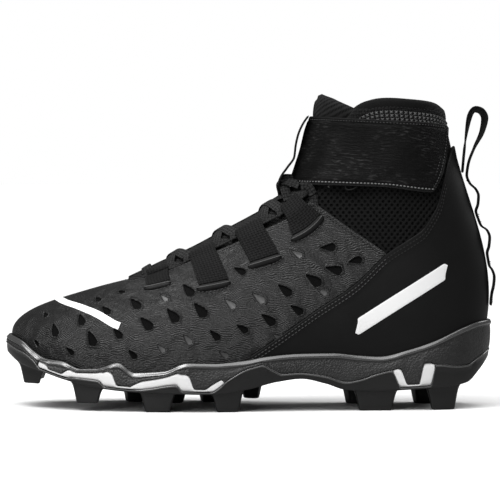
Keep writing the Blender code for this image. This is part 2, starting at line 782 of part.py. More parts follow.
def rim_share(side, along):
    """The station share whose meridian ends at a distance along the throat."""
    low, high = 0.0, 1.0
    for _ in range(40):
        middle = (low + high) / 2
        if ring(station(side, middle))[2] / LENGTH < along:
            low = middle
        else:
            high = middle
    return low


crown_of = curve_through(CROWN)


@functools.lru_cache(maxsize=None)
def throat_frame(share):
    """Lateral rim, medial rim and the crown of the tongue between them."""
    padding = max(collar_padding(station(-1, share), v) for v in (TONGUE_TUCK, 0.96, 1.0))
    depth = BOOT_DEPTH + UPPER_WALL + GAP + padding
    lateral = skin_point(station(-1, share), 1.0, depth)
    medial = skin_point(station(1, share), 1.0, depth)
    rim = ring(station(-1, share))
    ahead, behind = ring(station(-1, share + 0.004)), ring(station(-1, max(share - 0.004, 0.0)))
    slope = np.array([ahead[2] - behind[2], 0.0, ahead[4] - behind[4]])
    slope /= np.linalg.norm(slope)
    up = np.array([-slope[2], 0.0, slope[0]])
    middle = np.array([rim[2], (lateral[1] + medial[1]) / 2, rim[4]])
    return lateral, medial, middle + up * crown_of(rim[2] / LENGTH), up


def tongue_point(share, across, height=0.0):
    """On the tongue's outside: across runs from the lateral rim (-1) to the medial rim (1)."""
    lateral, medial, crown, up = throat_frame(share)
    middle = (lateral + medial) / 2
    point = middle + (medial - lateral) / 2 * across + (crown - middle) * (1 - across**2)
    lean = np.array([0.0, across * 0.55, 0.0]) + up
    return point + lean / np.linalg.norm(lean) * height


def share_at_height(height, across):
    """Where along the throat the tongue reaches a height."""
    low, high = 0.2, rim_share(-1, TONGUE_END)
    for _ in range(24):
        middle = (low + high) / 2
        if tongue_point(middle, across)[2] < height:
            low = middle
        else:
            high = middle
    return low


def past_rim(share, side, inset, height):
    """A point over the tongue, given by its distance past the eyestay's edge."""
    lateral, medial, _, _ = throat_frame(share)
    return tongue_point(share, side * (1 - 2 * inset / (medial[1] - lateral[1])), height)


def thicken(grid, wall, sign):
    """The other face of a sheet: every point of the grid moved along its own normal."""
    grid = np.array(grid, float)
    rows = np.gradient(grid, axis=0)
    columns = np.gradient(grid, axis=1)
    normals = np.cross(rows, columns)
    normals /= np.linalg.norm(normals, axis=2)[:, :, None]
    return grid + normals * wall * sign


def sheet(name, grid, wall, sign, finish):
    other = thicken(grid, wall, sign)
    return sheet_solid(name, [list(row) for row in grid], [list(row) for row in other], finish)


def make_tongue():
    shares = [s for s in SHARES if 0 < s and ring(station(-1, s))[2] < TONGUE_END * LENGTH]
    depth = BOOT_DEPTH + UPPER_WALL + GAP
    grid = []
    for share in shares:
        sides = []
        for side in (-1, 1):
            u = station(side, share)
            deep = depth + max(collar_padding(u, v) for v in (TONGUE_TUCK, 0.96, 1.0))
            sides.append(skin_point(u, TONGUE_TUCK, deep))
        across = [tongue_point(share, float(a)) for a in np.linspace(-1, 1, 7)]
        grid.append([sides[0]] + across + [sides[1]])
    return sheet("tongue", grid, TONGUE_WALL, -1, BLACK_KNIT)


def loop_ends(side, loop):
    """Rim and slit ring parameters at the front and the rear of a lace loop."""
    front, rear, slit_front, slit_rear, slit_v = loop
    rim = [station(side, rim_share(side, along)) for along in (front, rear)]
    slit = []
    for along in (slit_front, slit_rear):
        low, high = 0.0, 1.0
        for _ in range(30):
            middle = (low + high) / 2
            if last_point(station(side, middle), slit_v)[0] / LENGTH < along:
                low = middle
            else:
                high = middle
        slit.append(station(side, low))
    return rim, slit


LOOP_STAND = BOOT_DEPTH + UPPER_WALL + GAP + GAP + WEB_WALL  # tongue to the top of a loop


def make_lace_loop(side, number, loop):
    rim, slit = loop_ends(side, loop)
    shares = [rim_share(side, along) for along in loop[:2]]
    grid = []
    for climb in (0.0, 0.34, 0.68, 1.0):
        v = loop[4] + (1 - loop[4]) * climb
        row = []
        for end in (0, 1):
            u = slit[end] + (rim[end] - slit[end]) * climb
            row.append(skin_point(u, v, -GAP - WEB_WALL))
        grid.append(row)
    for inset, standing in LOOP_FOLD:
        height = GAP + 0.1 + (LOOP_STAND - GAP) * standing
        grid.append([past_rim(share, side, inset, height) for share in shares])
    name = "lace_loop_%s_%d" % ("outer" if side < 0 else "inner", number)
    return sheet(name, grid, WEB_WALL, -side, BLACK_WEB)


def band(path, width_of, wall, across_of):
    """A flat lace along a path: four corners at each point, closed at both ends."""
    rings = []
    for k, point in enumerate(path):
        before, after = path[max(k - 1, 0)], path[min(k + 1, len(path) - 1)]
        along = (after - before) / np.linalg.norm(after - before)
        across = across_of(k) - along * np.dot(across_of(k), along)
        across /= np.linalg.norm(across)
        up = np.cross(along, across)
        half = width_of(k) / 2
        rings.append(
            [
                point - across * half - up * wall / 2,
                point + across * half - up * wall / 2,
                point + across * half + up * wall / 2,
                point - across * half + up * wall / 2,
            ]
        )
    points = [p for one in rings for p in one]
    n = len(points)
    faces = bands(rings) + [(3, 2, 1, 0), (n - 4, n - 3, n - 2, n - 1)]
    return add_object("lace_piece", points, faces, *BLACK_WEB)


LACE_UP = LOOP_STAND * 0.53  # tongue to the lace inside a loop


def make_laces():
    """Laces: a bar inside each loop, crossings over the tongue, and the ends under the strap."""
    pieces = []
    ends = {}
    for side in (-1, 1):
        for number, loop in enumerate(LACE_LOOPS):
            shares = [rim_share(side, along) for along in loop[:2]]
            front, rear = [past_rim(share, side, LACE_INSET, LACE_UP) for share in shares]
            reach = rear - front
            path = [front - reach * 0.28, (front + rear) / 2, rear + reach * 0.58]
            starts = front - reach * 0.23, rear + reach * 0.53
            ends[side, number] = ((shares[0], starts[0]), (shares[1], starts[1]))
            pieces.append(
                band(path, lambda k: LACE_FOLDED, LACE_WALL * 0.8, lambda k: np.array([0, 1.0, 0]))
            )
    top = len(LACE_LOOPS) - 1
    runs = [((-1, 0, 0), (1, 0, 0), 0.0, 0.0), ((-1, top, 1), (1, top, 1), 0.0, LACE_DIP)]
    for number in range(top):
        runs.append(((-1, number, 1), (1, number + 1, 0), 0.0, 0.0))
        runs.append(((1, number, 1), (-1, number + 1, 0), 1.0, 0.0))
    for start, end, over, dip in runs:
        share_a, point_a = ends[start[0], start[1]][start[2]]
        share_b, point_b = ends[end[0], end[1]][end[2]]
        path = [point_a]
        steps = 5 if end[1] > start[1] else 4
        for k in range(1, steps):
            w = k / steps
            middle = math.sin(math.pi * w)
            share = share_a + (share_b - share_a) * w - dip * middle**3
            lateral, medial, _, _ = throat_frame(share)
            inset = 1 - 2 * LACE_INSET / (medial[1] - lateral[1])
            low = 2 * GAP + LACE_WALL / 2 + over * LACE_WALL * 0.75 + dip * 6
            height = LACE_UP + (low - LACE_UP) * middle**0.7
            path.append(tongue_point(share, start[0] * inset * (1 - 2 * w), height))
        path.append(point_b)

        def width(k, steps=steps):
            return LACE_FOLDED + (LACE_WIDTH - LACE_FOLDED) * math.sin(math.pi * k / steps) ** 2

        pieces.append(band(path, width, LACE_WALL, lambda k: np.array([1.0, 0, 0.6])))
    first = pieces[0]
    first.name = "laces"
    for piece in pieces[1:]:
        union = first.modifiers.new(piece.name, "BOOLEAN")
        union.operation = "UNION"
        union.solver = "EXACT"
        union.object = piece
        piece.hide_render = True
        piece.display_type = "WIRE"
    return first


# Strap, keeper and heel ribbon


def hull_at(height):
    """The taut line round ankle and tongue at one height, from the lateral side to the medial."""
    found = []
    for side in (-1, 1):
        for share in np.linspace(0.40, 1.0, 40):
            u = station(side, float(share))
            if last_point(u, 1.0)[2] > height:
                point = skin_point(u, v_at_height(u, height), BOOT_DEPTH)
                found.append((point[0], point[1]))
    for across in np.linspace(-1, 1, 15):
        point = tongue_point(share_at_height(height, float(across)), float(across))
        found.append((point[0], point[1]))
    found = sorted(set((round(x, 4), round(y, 4)) for x, y in found))

    def half(points):
        line = []
        for p in points:
            while len(line) > 1:
                a, b = line[-2], line[-1]
                if (b[0] - a[0]) * (p[1] - a[1]) - (b[1] - a[1]) * (p[0] - a[0]) > 0:
                    break
                line.pop()
            line.append(p)
        return line

    lower = half(found)
    upper = half(found[::-1])[::-1]
    line = np.array(lower[::-1] + upper[1:])
    steps = np.concatenate([[0.0], np.cumsum(np.linalg.norm(np.diff(line, axis=0), axis=1))])
    front = int(np.argmin(line[:, 0]))
    return steps - steps[front], line


STRAP_LEVELS = [COLLAR_HEIGHT * share for share in (0.69, 0.73, 0.77, 0.81, 0.85, 0.89, 0.93, 0.95)]


def strap_plan():
    return [hull_at(height) for height in STRAP_LEVELS]


def strap_point(plans, reach, height, stand):
    """On the strap's path: reach from its front, height, and how far out it stands."""
    at = np.interp(height, STRAP_LEVELS, range(len(STRAP_LEVELS)))
    low = min(int(at), len(STRAP_LEVELS) - 2)
    share = at - low
    ends = []
    for level in (low, low + 1):
        steps, line = plans[level]
        here = np.array([np.interp(reach, steps, line[:, k]) for k in (0, 1)])
        ahead = np.array([np.interp(reach + 4, steps, line[:, k]) for k in (0, 1)])
        behind = np.array([np.interp(reach - 4, steps, line[:, k]) for k in (0, 1)])
        along = (ahead - behind) / max(np.linalg.norm(ahead - behind), 1e-9)
        ends.append(here + np.array([-along[1], along[0]]) * stand)
    plan = ends[0] * (1 - share) + ends[1] * share
    return np.array([plan[0], plan[1], height])


strap_low = curve_through(STRAP, 1)
strap_high = curve_through(STRAP, 2)


def reach_of(plans, side, along, height):
    """How far along the strap's path a given distance from the toe lies."""
    low, high = 0.0, 0.6 * LENGTH
    for _ in range(30):
        middle = (low + high) / 2
        if strap_point(plans, side * middle, height, 0.0)[0] < along * LENGTH:
            low = middle
        else:
            high = middle
    return side * low


def make_strap(plans):
    lower_end, upper_end, inner_end = STRAP_ENDS
    bottom = COLLAR_HEIGHT * strap_low(-0.36)
    top = COLLAR_HEIGHT * strap_high(-0.36)
    starts = reach_of(plans, -1, lower_end, bottom), reach_of(plans, -1, upper_end, top)
    finish = reach_of(plans, 1, inner_end, (bottom + top) / 2)
    grid = []
    for k in range(STRAP_ROWS + 1):
        b = k / STRAP_ROWS
        start = starts[0] + (starts[1] - starts[0]) * b
        row = []
        for c in range(STRAP_COLUMNS + 1):
            reach = start + (finish - start) * c / STRAP_COLUMNS
            low = COLLAR_HEIGHT * strap_low(reach / LENGTH)
            high = COLLAR_HEIGHT * strap_high(reach / LENGTH)
            row.append(strap_point(plans, reach, low + (high - low) * b, WRAP_GAP))
        grid.append(row)
    return sheet("ankle_strap", grid, STRAP_WALL, 1, BLACK_WEB)


def make_keeper(plans):
    """The thin webbing that holds the strap to the front of the tongue."""
    grid = []
    for share in KEEPER_FOOT:
        row = []
        for c in (-1, 0, 1):
            at = share_at_height(COLLAR_HEIGHT * share, 0.0)
            lateral, medial, _, _ = throat_frame(at)
            across = c * KEEPER_WIDTH / (medial[1] - lateral[1])
            row.append(tongue_point(at, across, 2 * GAP))
        grid.append(row)
    for share, stand in KEEPER:
        out = WRAP_GAP + STRAP_WALL + 3 * GAP + stand
        row = [
            strap_point(plans, c * KEEPER_WIDTH / 2, COLLAR_HEIGHT * share, out)
            for c in (-1, 0, 1)
        ]
        grid.append(row)
    return sheet("strap_keeper", grid, WEB_WALL, 1, BLACK_WEB)


def make_heel_ribbon():
    """One ribbon tacked down the heel in waves, with a free pull loop at its top."""
    path = []
    for share, stand in RIBBON:
        v = v_at_height(HEEL_KNOT, COLLAR_HEIGHT * share)
        path.append(skin_point(HEEL_KNOT, v, -2 * GAP - stand))
    v = v_at_height(HEEL_KNOT, COLLAR_HEIGHT * RIBBON_EYE[-1][0])
    seam = skin_point(HEEL_KNOT, v, -2 * GAP)[0]
    for share, stand in RIBBON_EYE:
        path.append(np.array([seam + stand, path[0][1], COLLAR_HEIGHT * share]))
    half = RIBBON_WIDTH / 2
    grid = [[p + np.array([0, -half, 0]), p + np.array([0, half, 0])] for p in path]
    return sheet("heel_ribbon", grid, WEB_WALL, -1, BLACK_WEB)


def clear_scene():
    for obj in list(bpy.data.objects):
        bpy.data.objects.remove(obj)


def main():
    clear_scene()
    make_upper()
    make_vamp()
    make_quarter()
    make_midsole()
    make_plate()
    make_outsole()
    make_insole()
    make_tongue()
    for side in (-1, 1):
        for number, loop in enumerate(LACE_LOOPS):
            make_lace_loop(side, number + 1, loop)
    make_laces()
    plans = strap_plan()
    make_strap(plans)
    make_keeper(plans)
    make_heel_ribbon()


main()
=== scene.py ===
import math

import bmesh
import bpy
import numpy as np
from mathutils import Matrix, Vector
from mathutils.geometry import delaunay_2d_cdt


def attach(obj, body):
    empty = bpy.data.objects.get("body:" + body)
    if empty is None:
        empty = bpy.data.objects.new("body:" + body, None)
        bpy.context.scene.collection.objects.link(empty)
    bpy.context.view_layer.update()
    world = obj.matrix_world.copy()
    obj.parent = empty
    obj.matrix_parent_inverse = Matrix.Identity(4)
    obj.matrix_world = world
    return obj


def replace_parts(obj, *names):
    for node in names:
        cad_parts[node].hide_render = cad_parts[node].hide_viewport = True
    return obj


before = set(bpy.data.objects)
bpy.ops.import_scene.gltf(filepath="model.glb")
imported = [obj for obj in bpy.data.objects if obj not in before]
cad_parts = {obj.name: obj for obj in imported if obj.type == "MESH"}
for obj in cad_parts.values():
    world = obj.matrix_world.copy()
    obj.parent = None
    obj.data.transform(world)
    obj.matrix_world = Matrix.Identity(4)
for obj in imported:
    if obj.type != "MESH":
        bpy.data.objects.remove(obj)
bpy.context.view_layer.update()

# A black high-top football cleat, left foot. Sizes below are millimetres of the shoe itself:
# x runs back from the toe tip, y across it (the lateral side is negative), z up from the floor.

shoe = {
    "length": 295.0,
    "ballWidth": 101.0,
    "heelWidth": 72.0,
    "toeSwing": 5.0,  # lean of the toe tip to the inner side
    "lugHeight": 11.0,
    "toeSpring": 22.0,
    "bedHeight": 7.0,
    "cupHeight": 42.0,
    "collarHeight": 187.0,
    "vampHeight": 77.5,
    "throatWidth": 46.0,
    "collarWidth": 66.0,
    "ribbonReach": 3.4,
    "featherInset": 5.2,
    "gap": 0.35,
    "skinWall": 1.1,
    "skinGap": 0.8,
    "upperWall": 2.2,
    "collarPad": 2.6,
    "plateWall": 1.4,
    "rimWall": 1.9,
    "wrapGap": 1.6,
    "strapWall": 2.4,
    "webWall": 1.1,
}
bootDepth = shoe["skinWall"] + shoe["skinGap"]
length = shoe["length"]

# along, lateral, medial: the sole's outline in shares of its length and half width
outlineRows = (
    (0.000, 0.00, 0.00), (0.022, 0.28, 0.46), (0.080, 0.60, 0.72), (0.165, 0.82, 0.87),
    (0.260, 0.96, 0.94), (0.350, 1.02, 0.94), (0.440, 1.03, 0.87), (0.530, 1.01, 0.76),
    (0.620, 1.00, 0.72), (0.710, 1.00, 0.78), (0.790, 1.00, 0.86), (0.870, 0.95, 0.92),
    (0.940, 0.74, 0.76), (0.984, 0.40, 0.42), (1.000, 0.00, 0.00),
)
# along, height, lateral, medial, bulge, rise, shoulder, drop: the rim that each row climbs to
openingRows = (
    (0.252, 1.000, 0.00, 0.00, 0.22, 0.42, 0.78, 0.34), (0.254, 1.000, 0.20, 0.20, 0.20, 0.45, 0.74, 0.32),
    (0.262, 1.003, 0.42, 0.42, 0.16, 0.48, 0.70, 0.28), (0.286, 1.020, 0.64, 0.64, 0.13, 0.50, 0.66, 0.20),
    (0.330, 1.070, 0.81, 0.81, 0.10, 0.48, 0.62, 0.16), (0.386, 1.160, 0.92, 0.92, 0.09, 0.44, 0.56, 0.18),
    (0.456, 1.270, 0.98, 0.98, 0.09, 0.40, 0.48, 0.22), (0.530, 1.395, 1.00, 1.00, 0.10, 0.38, 0.40, 0.26),
    (0.600, 1.530, 0.98, 0.98, 0.09, 0.36, 0.36, 0.28), (0.652, 1.800, 0.96, 0.96, 0.08, 0.34, 0.30, 0.30),
    (0.690, 2.220, 0.98, 0.98, 0.06, 0.34, 0.22, 0.32), (0.752, 2.418, 1.36, 1.36, 0.05, 0.35, 0.16, 0.33),
    (0.836, 2.420, 1.32, 1.32, 0.07, 0.38, 0.12, 0.35), (0.894, 2.390, 0.76, 0.76, 0.10, 0.38, 0.20, 0.36),
    (0.913, 2.345, 0.00, 0.00, 0.12, 0.38, 0.26, 0.36),
)
underRows = (
    (0.00, 1.00), (0.03, 0.73), (0.08, 0.53), (0.13, 0.33), (0.20, 0.13), (0.27, 0.045),
    (0.36, 0.00), (0.43, -0.02), (0.50, 0.11), (0.56, 0.31), (0.61, 0.39), (0.66, 0.25),
    (0.70, 0.08), (0.76, 0.03), (0.83, 0.07), (0.90, 0.12), (0.95, 0.23), (0.98, 0.59), (1.00, 0.91),
)
bedRows = (
    (0.00, 3.93), (0.03, 3.14), (0.08, 2.50), (0.13, 1.78), (0.20, 1.30), (0.27, 1.08),
    (0.36, 1.00), (0.43, 1.00), (0.50, 1.55), (0.60, 2.10), (0.70, 1.95), (0.83, 2.00),
    (0.90, 2.15), (0.95, 2.50), (0.98, 3.20), (1.00, 3.70),
)
rimRows = (
    (0.000, 0.776), (0.030, 0.695), (0.055, 0.560), (0.080, 0.465), (0.120, 0.430),
    (0.155, 0.335), (0.190, 0.340), (0.235, 0.425), (0.270, 0.290), (0.330, 0.312),
    (0.378, 0.425), (0.430, 0.420), (0.500, 0.464), (0.540, 0.515), (0.610, 0.553),
    (0.675, 0.556), (0.727, 0.521), (0.770, 0.503), (0.830, 0.595), (0.885, 0.717),
    (0.950, 0.915), (0.980, 0.985), (1.000, 1.000),
)
# upper edge of the stud panels, and the white plate above it, in shares of the lug height
panelRows = (
    (0.000, 0.60), (0.034, 0.75), (0.061, 0.50), (0.076, 0.13), (0.128, 0.13), (0.142, 0.26),
    (0.196, 0.42), (0.212, 0.13), (0.268, 0.13), (0.300, 0.24), (0.356, 0.48), (0.370, 0.13),
    (0.425, 0.13), (0.446, 0.42), (0.460, 0.72), (0.510, 1.15), (0.527, 1.15), (0.550, 0.73),
    (0.572, 0.38), (0.620, 0.32), (0.660, 0.40), (0.697, 0.42), (0.727, 0.60), (0.767, 0.98),
    (0.793, 1.10), (0.813, 0.13), (0.874, 0.14), (0.885, 1.28), (0.930, 1.06), (0.964, 0.92),
    (1.000, 0.45),
)
windowRows = (
    (0.000, 0.00), (0.068, 0.00), (0.074, 0.38), (0.088, 0.34), (0.096, 0.00), (0.112, 0.00),
    (0.134, 0.44), (0.187, 0.50), (0.202, 0.60), (0.214, 0.88), (0.224, 0.80), (0.238, 0.00),
    (0.258, 0.00), (0.268, 0.26), (0.290, 0.46), (0.330, 0.48), (0.355, 0.64), (0.372, 0.98),
    (0.381, 0.90), (0.396, 0.00), (0.408, 0.00), (0.418, 0.20), (0.432, 0.42), (0.447, 0.36),
    (0.456, 0.00), (0.793, 0.00), (0.8115, 1.02), (0.829, 0.00), (0.848, 0.00), (0.861, 1.27),
    (0.874, 1.27), (0.885, 0.00), (1.000, 0.00),
)
quarterTopRows = (
    (0.505, 0.174), (0.560, 0.232), (0.640, 0.320), (0.720, 0.404), (0.786, 0.502),
    (0.830, 0.547), (0.857, 0.577), (0.874, 0.616), (0.889, 0.660), (0.902, 0.740),
    (0.920, 0.830), (0.945, 0.872), (1.100, 0.874),
)
eyestayEndRows = ((0.620, 0.690), (0.637, 0.668), (0.786, 0.502), (0.950, 0.320))
crownRows = (
    (0.252, 1.0), (0.262, 2.0), (0.286, 3.8), (0.330, 5.8), (0.386, 6.3), (0.456, 8.4),
    (0.530, 10.1), (0.600, 12.9), (0.652, 14.0), (0.690, 15.5), (0.720, 17.0),
)


def unit(vectors):
    return vectors / np.maximum(np.linalg.norm(vectors, axis=-1, keepdims=True), 1e-9)


def pathLengths(path):
    return np.concatenate([[0.0], np.cumsum(np.linalg.norm(np.diff(path, axis=0), axis=1))])


# the points of a path at some lengths along it
def atLengths(at, steps, path):
    return np.stack([np.interp(at, steps, path[:, k]) for k in range(path.shape[1])], -1)


def ramp(value, start, reach):
    return np.clip((value - start) / reach, 0, 1)


# a quarter circle that climbs from 0 to 1
def quarterRound(t):
    return np.sqrt(np.maximum(1 - (1 - t) ** 2, 0))


def smoothStep(t):
    return t * t * (3 - 2 * t)


# a curve through the rows' points that doesn't overshoot them
def curveThrough(table, column=1):
    xs = np.array([row[0] for row in table], float)
    ys = np.array([row[column] for row in table], float)
    steps = np.diff(ys) / np.diff(xs)
    slopes = np.zeros(len(xs))
    for i in range(1, len(xs) - 1):
        if steps[i - 1] * steps[i] > 0:
            slopes[i] = 2 * steps[i - 1] * steps[i] / (steps[i - 1] + steps[i])
    slopes[0], slopes[-1] = steps[0], steps[-1]

    def value(x):
        x = np.clip(x, xs[0], xs[-1])
        i = np.clip(np.searchsorted(xs, x, side="right") - 1, 0, len(xs) - 2)
        h = xs[i + 1] - xs[i]
        t = (x - xs[i]) / h
        return (
            ys[i] * (1 + 2 * t) * (1 - t) ** 2
            + slopes[i] * h * t * (1 - t) ** 2
            + ys[i + 1] * t * t * (3 - 2 * t)
            + slopes[i + 1] * h * t * t * (t - 1)
        )

    return value


def closedSpline(knots, values):
    n = len(values)
    h = np.diff(knots)
    matrix = np.zeros((n, n))
    right = np.zeros((n, values.shape[1]))
    for i in range(n):
        matrix[i, (i - 1) % n] += h[i - 1]
        matrix[i, i] += 2 * (h[i - 1] + h[i])
        matrix[i, (i + 1) % n] += h[i]
        right[i] = 6 * ((values[(i + 1) % n] - values[i]) / h[i] - (values[i] - values[i - 1]) / h[i - 1])
    bend = np.linalg.solve(matrix, right)

    def value(u):
        u = np.mod(np.asarray(u, float), knots[-1])
        i = np.clip(np.searchsorted(knots, u, side="right") - 1, 0, n - 1)
        j = (i + 1) % n
        a, b, step = (knots[i + 1] - u)[..., None], (u - knots[i])[..., None], h[i][..., None]
        return (
            bend[i] * a**3 / (6 * step)
            + bend[j] * b**3 / (6 * step)
            + (values[i] / step - bend[i] * step / 6) * a
            + (values[j] / step - bend[j] * step / 6) * b
        )

    return value


riseOf, bedOf, rimOf = curveThrough(underRows), curveThrough(bedRows), curveThrough(rimRows)
panelOf, windowOf = curveThrough(panelRows), curveThrough(windowRows)
quarterTopOf, eyestayEndOf = curveThrough(quarterTopRows), curveThrough(eyestayEndRows)
crownOf = curveThrough(crownRows)


def underHeight(along):
    return shoe["lugHeight"] + shoe["toeSpring"] * riseOf(along)


def bedHeight(along):
    return shoe["lugHeight"] + shoe["bedHeight"] * bedOf(along)


def rimHeight(along):
    return shoe["lugHeight"] + shoe["cupHeight"] * rimOf(along)


def ringTable():
    rows = []
    last = len(outlineRows) - 1
    for i, side in [(i, -1) for i in range(last + 1)] + [(i, 1) for i in range(last - 1, 0, -1)]:
        along, lateral, medial = outlineRows[i]
        far, height, gapLateral, gapMedial, bulge, rise, shoulder, drop = openingRows[i]
        share = smoothStep(min(max((along - 0.35) / 0.5, 0.0), 1.0))
        half = (shoe["ballWidth"] * (1 - share) + shoe["heelWidth"] * share) / 2
        swing = shoe["toeSwing"] * max(0.0, 1 - along / 0.25) ** 2
        gap = (gapLateral if side < 0 else gapMedial) * (
            shoe["throatWidth"] / 2 if i < 11 else shoe["collarWidth"] / 2 / 1.34
        )
        top = shoe["vampHeight"] * height if i < 9 else shoe["collarHeight"] * height / 2.42
        width = lateral if side < 0 else medial
        place = (length * along, side * width * half + swing, length * far, side * gap, top)
        rows.append(place + (bulge, rise, shoulder, drop))
    return np.array(rows, float)


ringRows = ringTable()
chords = np.linalg.norm(np.roll(ringRows[:, :2], -1, axis=0) - ringRows[:, :2], axis=1)
ringKnots = np.concatenate([[0.0], np.cumsum(chords)])
ring = closedSpline(ringKnots, ringRows)
heelKnot = ringKnots[len(outlineRows) - 1]
wholeRound = ringKnots[-1]


def station(side, share):
    share = np.asarray(share, float)
    return heelKnot * share if side < 0 else wholeRound - (wholeRound - heelKnot) * share


def outward(u):
    along = unit(ring(u + 0.4)[..., :2] - ring(u - 0.4)[..., :2])
    return np.stack([along[..., 1], -along[..., 0]], -1)


# the outside of the upper: a meridian from the feather edge (v = 0) to the opening (v = 1)
def lastPoint(u, v):
    u, v = np.broadcast_arrays(np.asarray(u, float), np.asarray(v, float))
    row, out = ring(u), outward(u)
    x, y, far, gap, top, bulge, rise, shoulder, drop = np.moveaxis(row, -1, 0)
    inset, bed = shoe["featherInset"], bedHeight(np.clip(x / length, 0, 1))
    foot = np.stack([x - out[..., 0] * inset, y - out[..., 1] * inset, bed], -1)
    edge = np.stack([far, gap, top], -1)
    tall = top - foot[..., 2]
    low = foot + np.stack([out[..., 0] * bulge * tall, out[..., 1] * bulge * tall, rise * tall], -1)
    high = edge + np.stack(
        [(foot[..., 0] - far) * shoulder, (foot[..., 1] - gap) * shoulder, -drop * tall], -1
    )
    v = v[..., None]
    w = 1 - v
    return foot * w**3 + low * 3 * w * w * v + high * 3 * w * v * v + edge * v**3


def lastNormal(u, v):
    v = np.asarray(v, float)
    roundStep = lastPoint(u + 0.5, v) - lastPoint(u - 0.5, v)
    upStep = lastPoint(u, np.minimum(v + 0.004, 1.0)) - lastPoint(u, np.maximum(v - 0.004, 0.0))
    return unit(np.cross(roundStep, upStep))


def skinPoint(u, v, depth=0.0):
    return lastPoint(u, v) - lastNormal(u, v) * np.asarray(depth, float)[..., None]


levels = np.linspace(0.0, 1.0, 241)


# the v where signed(x, z) first falls to zero on the way up each meridian
def firstCrossing(u, signed):
    u = np.atleast_1d(np.asarray(u, float))
    points = lastPoint(u[:, None], levels[None, :])
    value = signed(points[..., 0], points[..., 2], u[:, None])
    below = value <= 0
    first = np.argmax(below, axis=1)
    rows = np.arange(len(u))
    before = np.maximum(first - 1, 0)
    a, b = value[rows, before], value[rows, first]
    share = np.where(first > before, a / np.maximum(a - b, 1e-9), 0.0)
    found = levels[before] + share * (levels[first] - levels[before])
    return np.where(below.any(axis=1), found, 1.0)


def vAtHeight(u, height):
    height = np.broadcast_to(np.asarray(height, float), np.atleast_1d(u).shape)
    return firstCrossing(u, lambda x, z, _: height[:, None] - z)


def quarterEdge(u):
    return firstCrossing(
        u, lambda x, z, _: np.minimum(x - 0.505 * length, quarterTopOf(x / length) * shoe["collarHeight"] - z)
    )


def vampEdge(u):
    return firstCrossing(
        u, lambda x, z, _: np.maximum(0.62 * length - x, eyestayEndOf(x / length) * shoe["collarHeight"] - z)
    )


def rimV(u):
    u = np.atleast_1d(u)
    return vAtHeight(u, rimHeight(np.clip(ring(u)[..., 0] / length, 0, 1)))


# heights of the under-face, the stud panel's upper edge and the cage's lower edge
def soleLevels(u):
    along = np.clip(ring(u)[..., 0] / length, 0, 1)
    under = underHeight(along)
    wall, lug, gap = shoe["plateWall"], shoe["lugHeight"], shoe["gap"]
    panel = under + lug * np.maximum(panelOf(along), wall / lug)
    cage = np.maximum(panel + gap + lug * windowOf(along), under + 2 * wall + 2 * gap)
    ceiling = rimHeight(along) - 1.6
    return under, np.minimum(panel, ceiling - gap), np.minimum(cage, ceiling)


def edgeTable(side):
    found = ring(station(side, np.linspace(0.0, 1.0, 401)))[:, :2]
    return found[np.argsort(found[:, 0])]


edges = {side: edgeTable(side) for side in (-1, 1)}
centreX = (length + shoe["ribbonReach"]) / 2
centreY = (edges[-1][:, 1].min() + edges[1][:, 1].max()) / 2


def edgeY(x, side):
    return np.interp(x, edges[side][:, 0], edges[side][:, 1])


def edgeAt(u, inset, z):
    row, out = ring(u), outward(u)
    return np.stack(
        [row[..., 0] - out[..., 0] * inset, row[..., 1] - out[..., 1] * inset, z + 0 * row[..., 0]], -1
    )


def nearHeel(u):
    return ramp(ring(u)[..., 0] / length, 0.66, 0.12)


def collarPadding(u, v):
    return shoe["collarPad"] * nearHeel(u) * np.sin(np.pi * np.clip((v - 0.78) / 0.24, 0, 1))


def thickestPadding(u):
    return np.maximum.reduce([collarPadding(u, v) for v in (0.92, 0.96, 1.0)])


rimShares = np.linspace(0.0, 1.0, 1201)
rimTables = {side: ring(station(side, rimShares))[:, 2] / length for side in (-1, 1)}


def rimShare(side, along):
    return np.interp(along, rimTables[side], rimShares)


# the line between the eyestays, and the tongue's crown over it
def throatFrame(share):
    share = np.asarray(share, float)
    u = station(-1, share)
    depth = bootDepth + shoe["upperWall"] + shoe["gap"] + thickestPadding(u)
    lateral, medial = skinPoint(u, 1.0, depth), skinPoint(station(1, share), 1.0, depth)
    rim = ring(u)
    ahead, behind = ring(station(-1, share + 0.004)), ring(station(-1, np.maximum(share - 0.004, 0.0)))
    slope = unit(np.stack([ahead[..., 2] - behind[..., 2], 0 * share, ahead[..., 4] - behind[..., 4]], -1))
    up = np.stack([-slope[..., 2], 0 * share, slope[..., 0]], -1)
    middle = np.stack([rim[..., 2], (lateral[..., 1] + medial[..., 1]) / 2, rim[..., 4]], -1)
    return lateral, medial, middle + up * crownOf(rim[..., 2] / length)[..., None], up


def tonguePoint(share, across, height=0.0):
    share, across, height = np.broadcast_arrays(
        np.asarray(share, float), np.asarray(across, float), np.asarray(height, float)
    )
    lateral, medial, crown, up = throatFrame(share)
    middle = (lateral + medial) / 2
    a = across[..., None]
    point = middle + (medial - lateral) / 2 * a + (crown - middle) * (1 - a**2)
    lean = up + np.stack([0 * across, across * 0.55, 0 * across], -1)
    return point + unit(lean) * height[..., None]


def pastRim(share, side, inset, height):
    lateral, medial, _, _ = throatFrame(share)
    return tonguePoint(share, side * (1 - 2 * inset / (medial[..., 1] - lateral[..., 1])), height)


tongueEnd = 0.716


def shareAtHeight(height, across):
    shares = np.linspace(0.2, float(rimShare(-1, tongueEnd)), 400)
    return np.interp(height, tonguePoint(shares, across)[:, 2], shares)


# Mesh helpers


def toScene(points):
    return (np.asarray(points, float) - (centreX, centreY, 0.0)) * 0.001


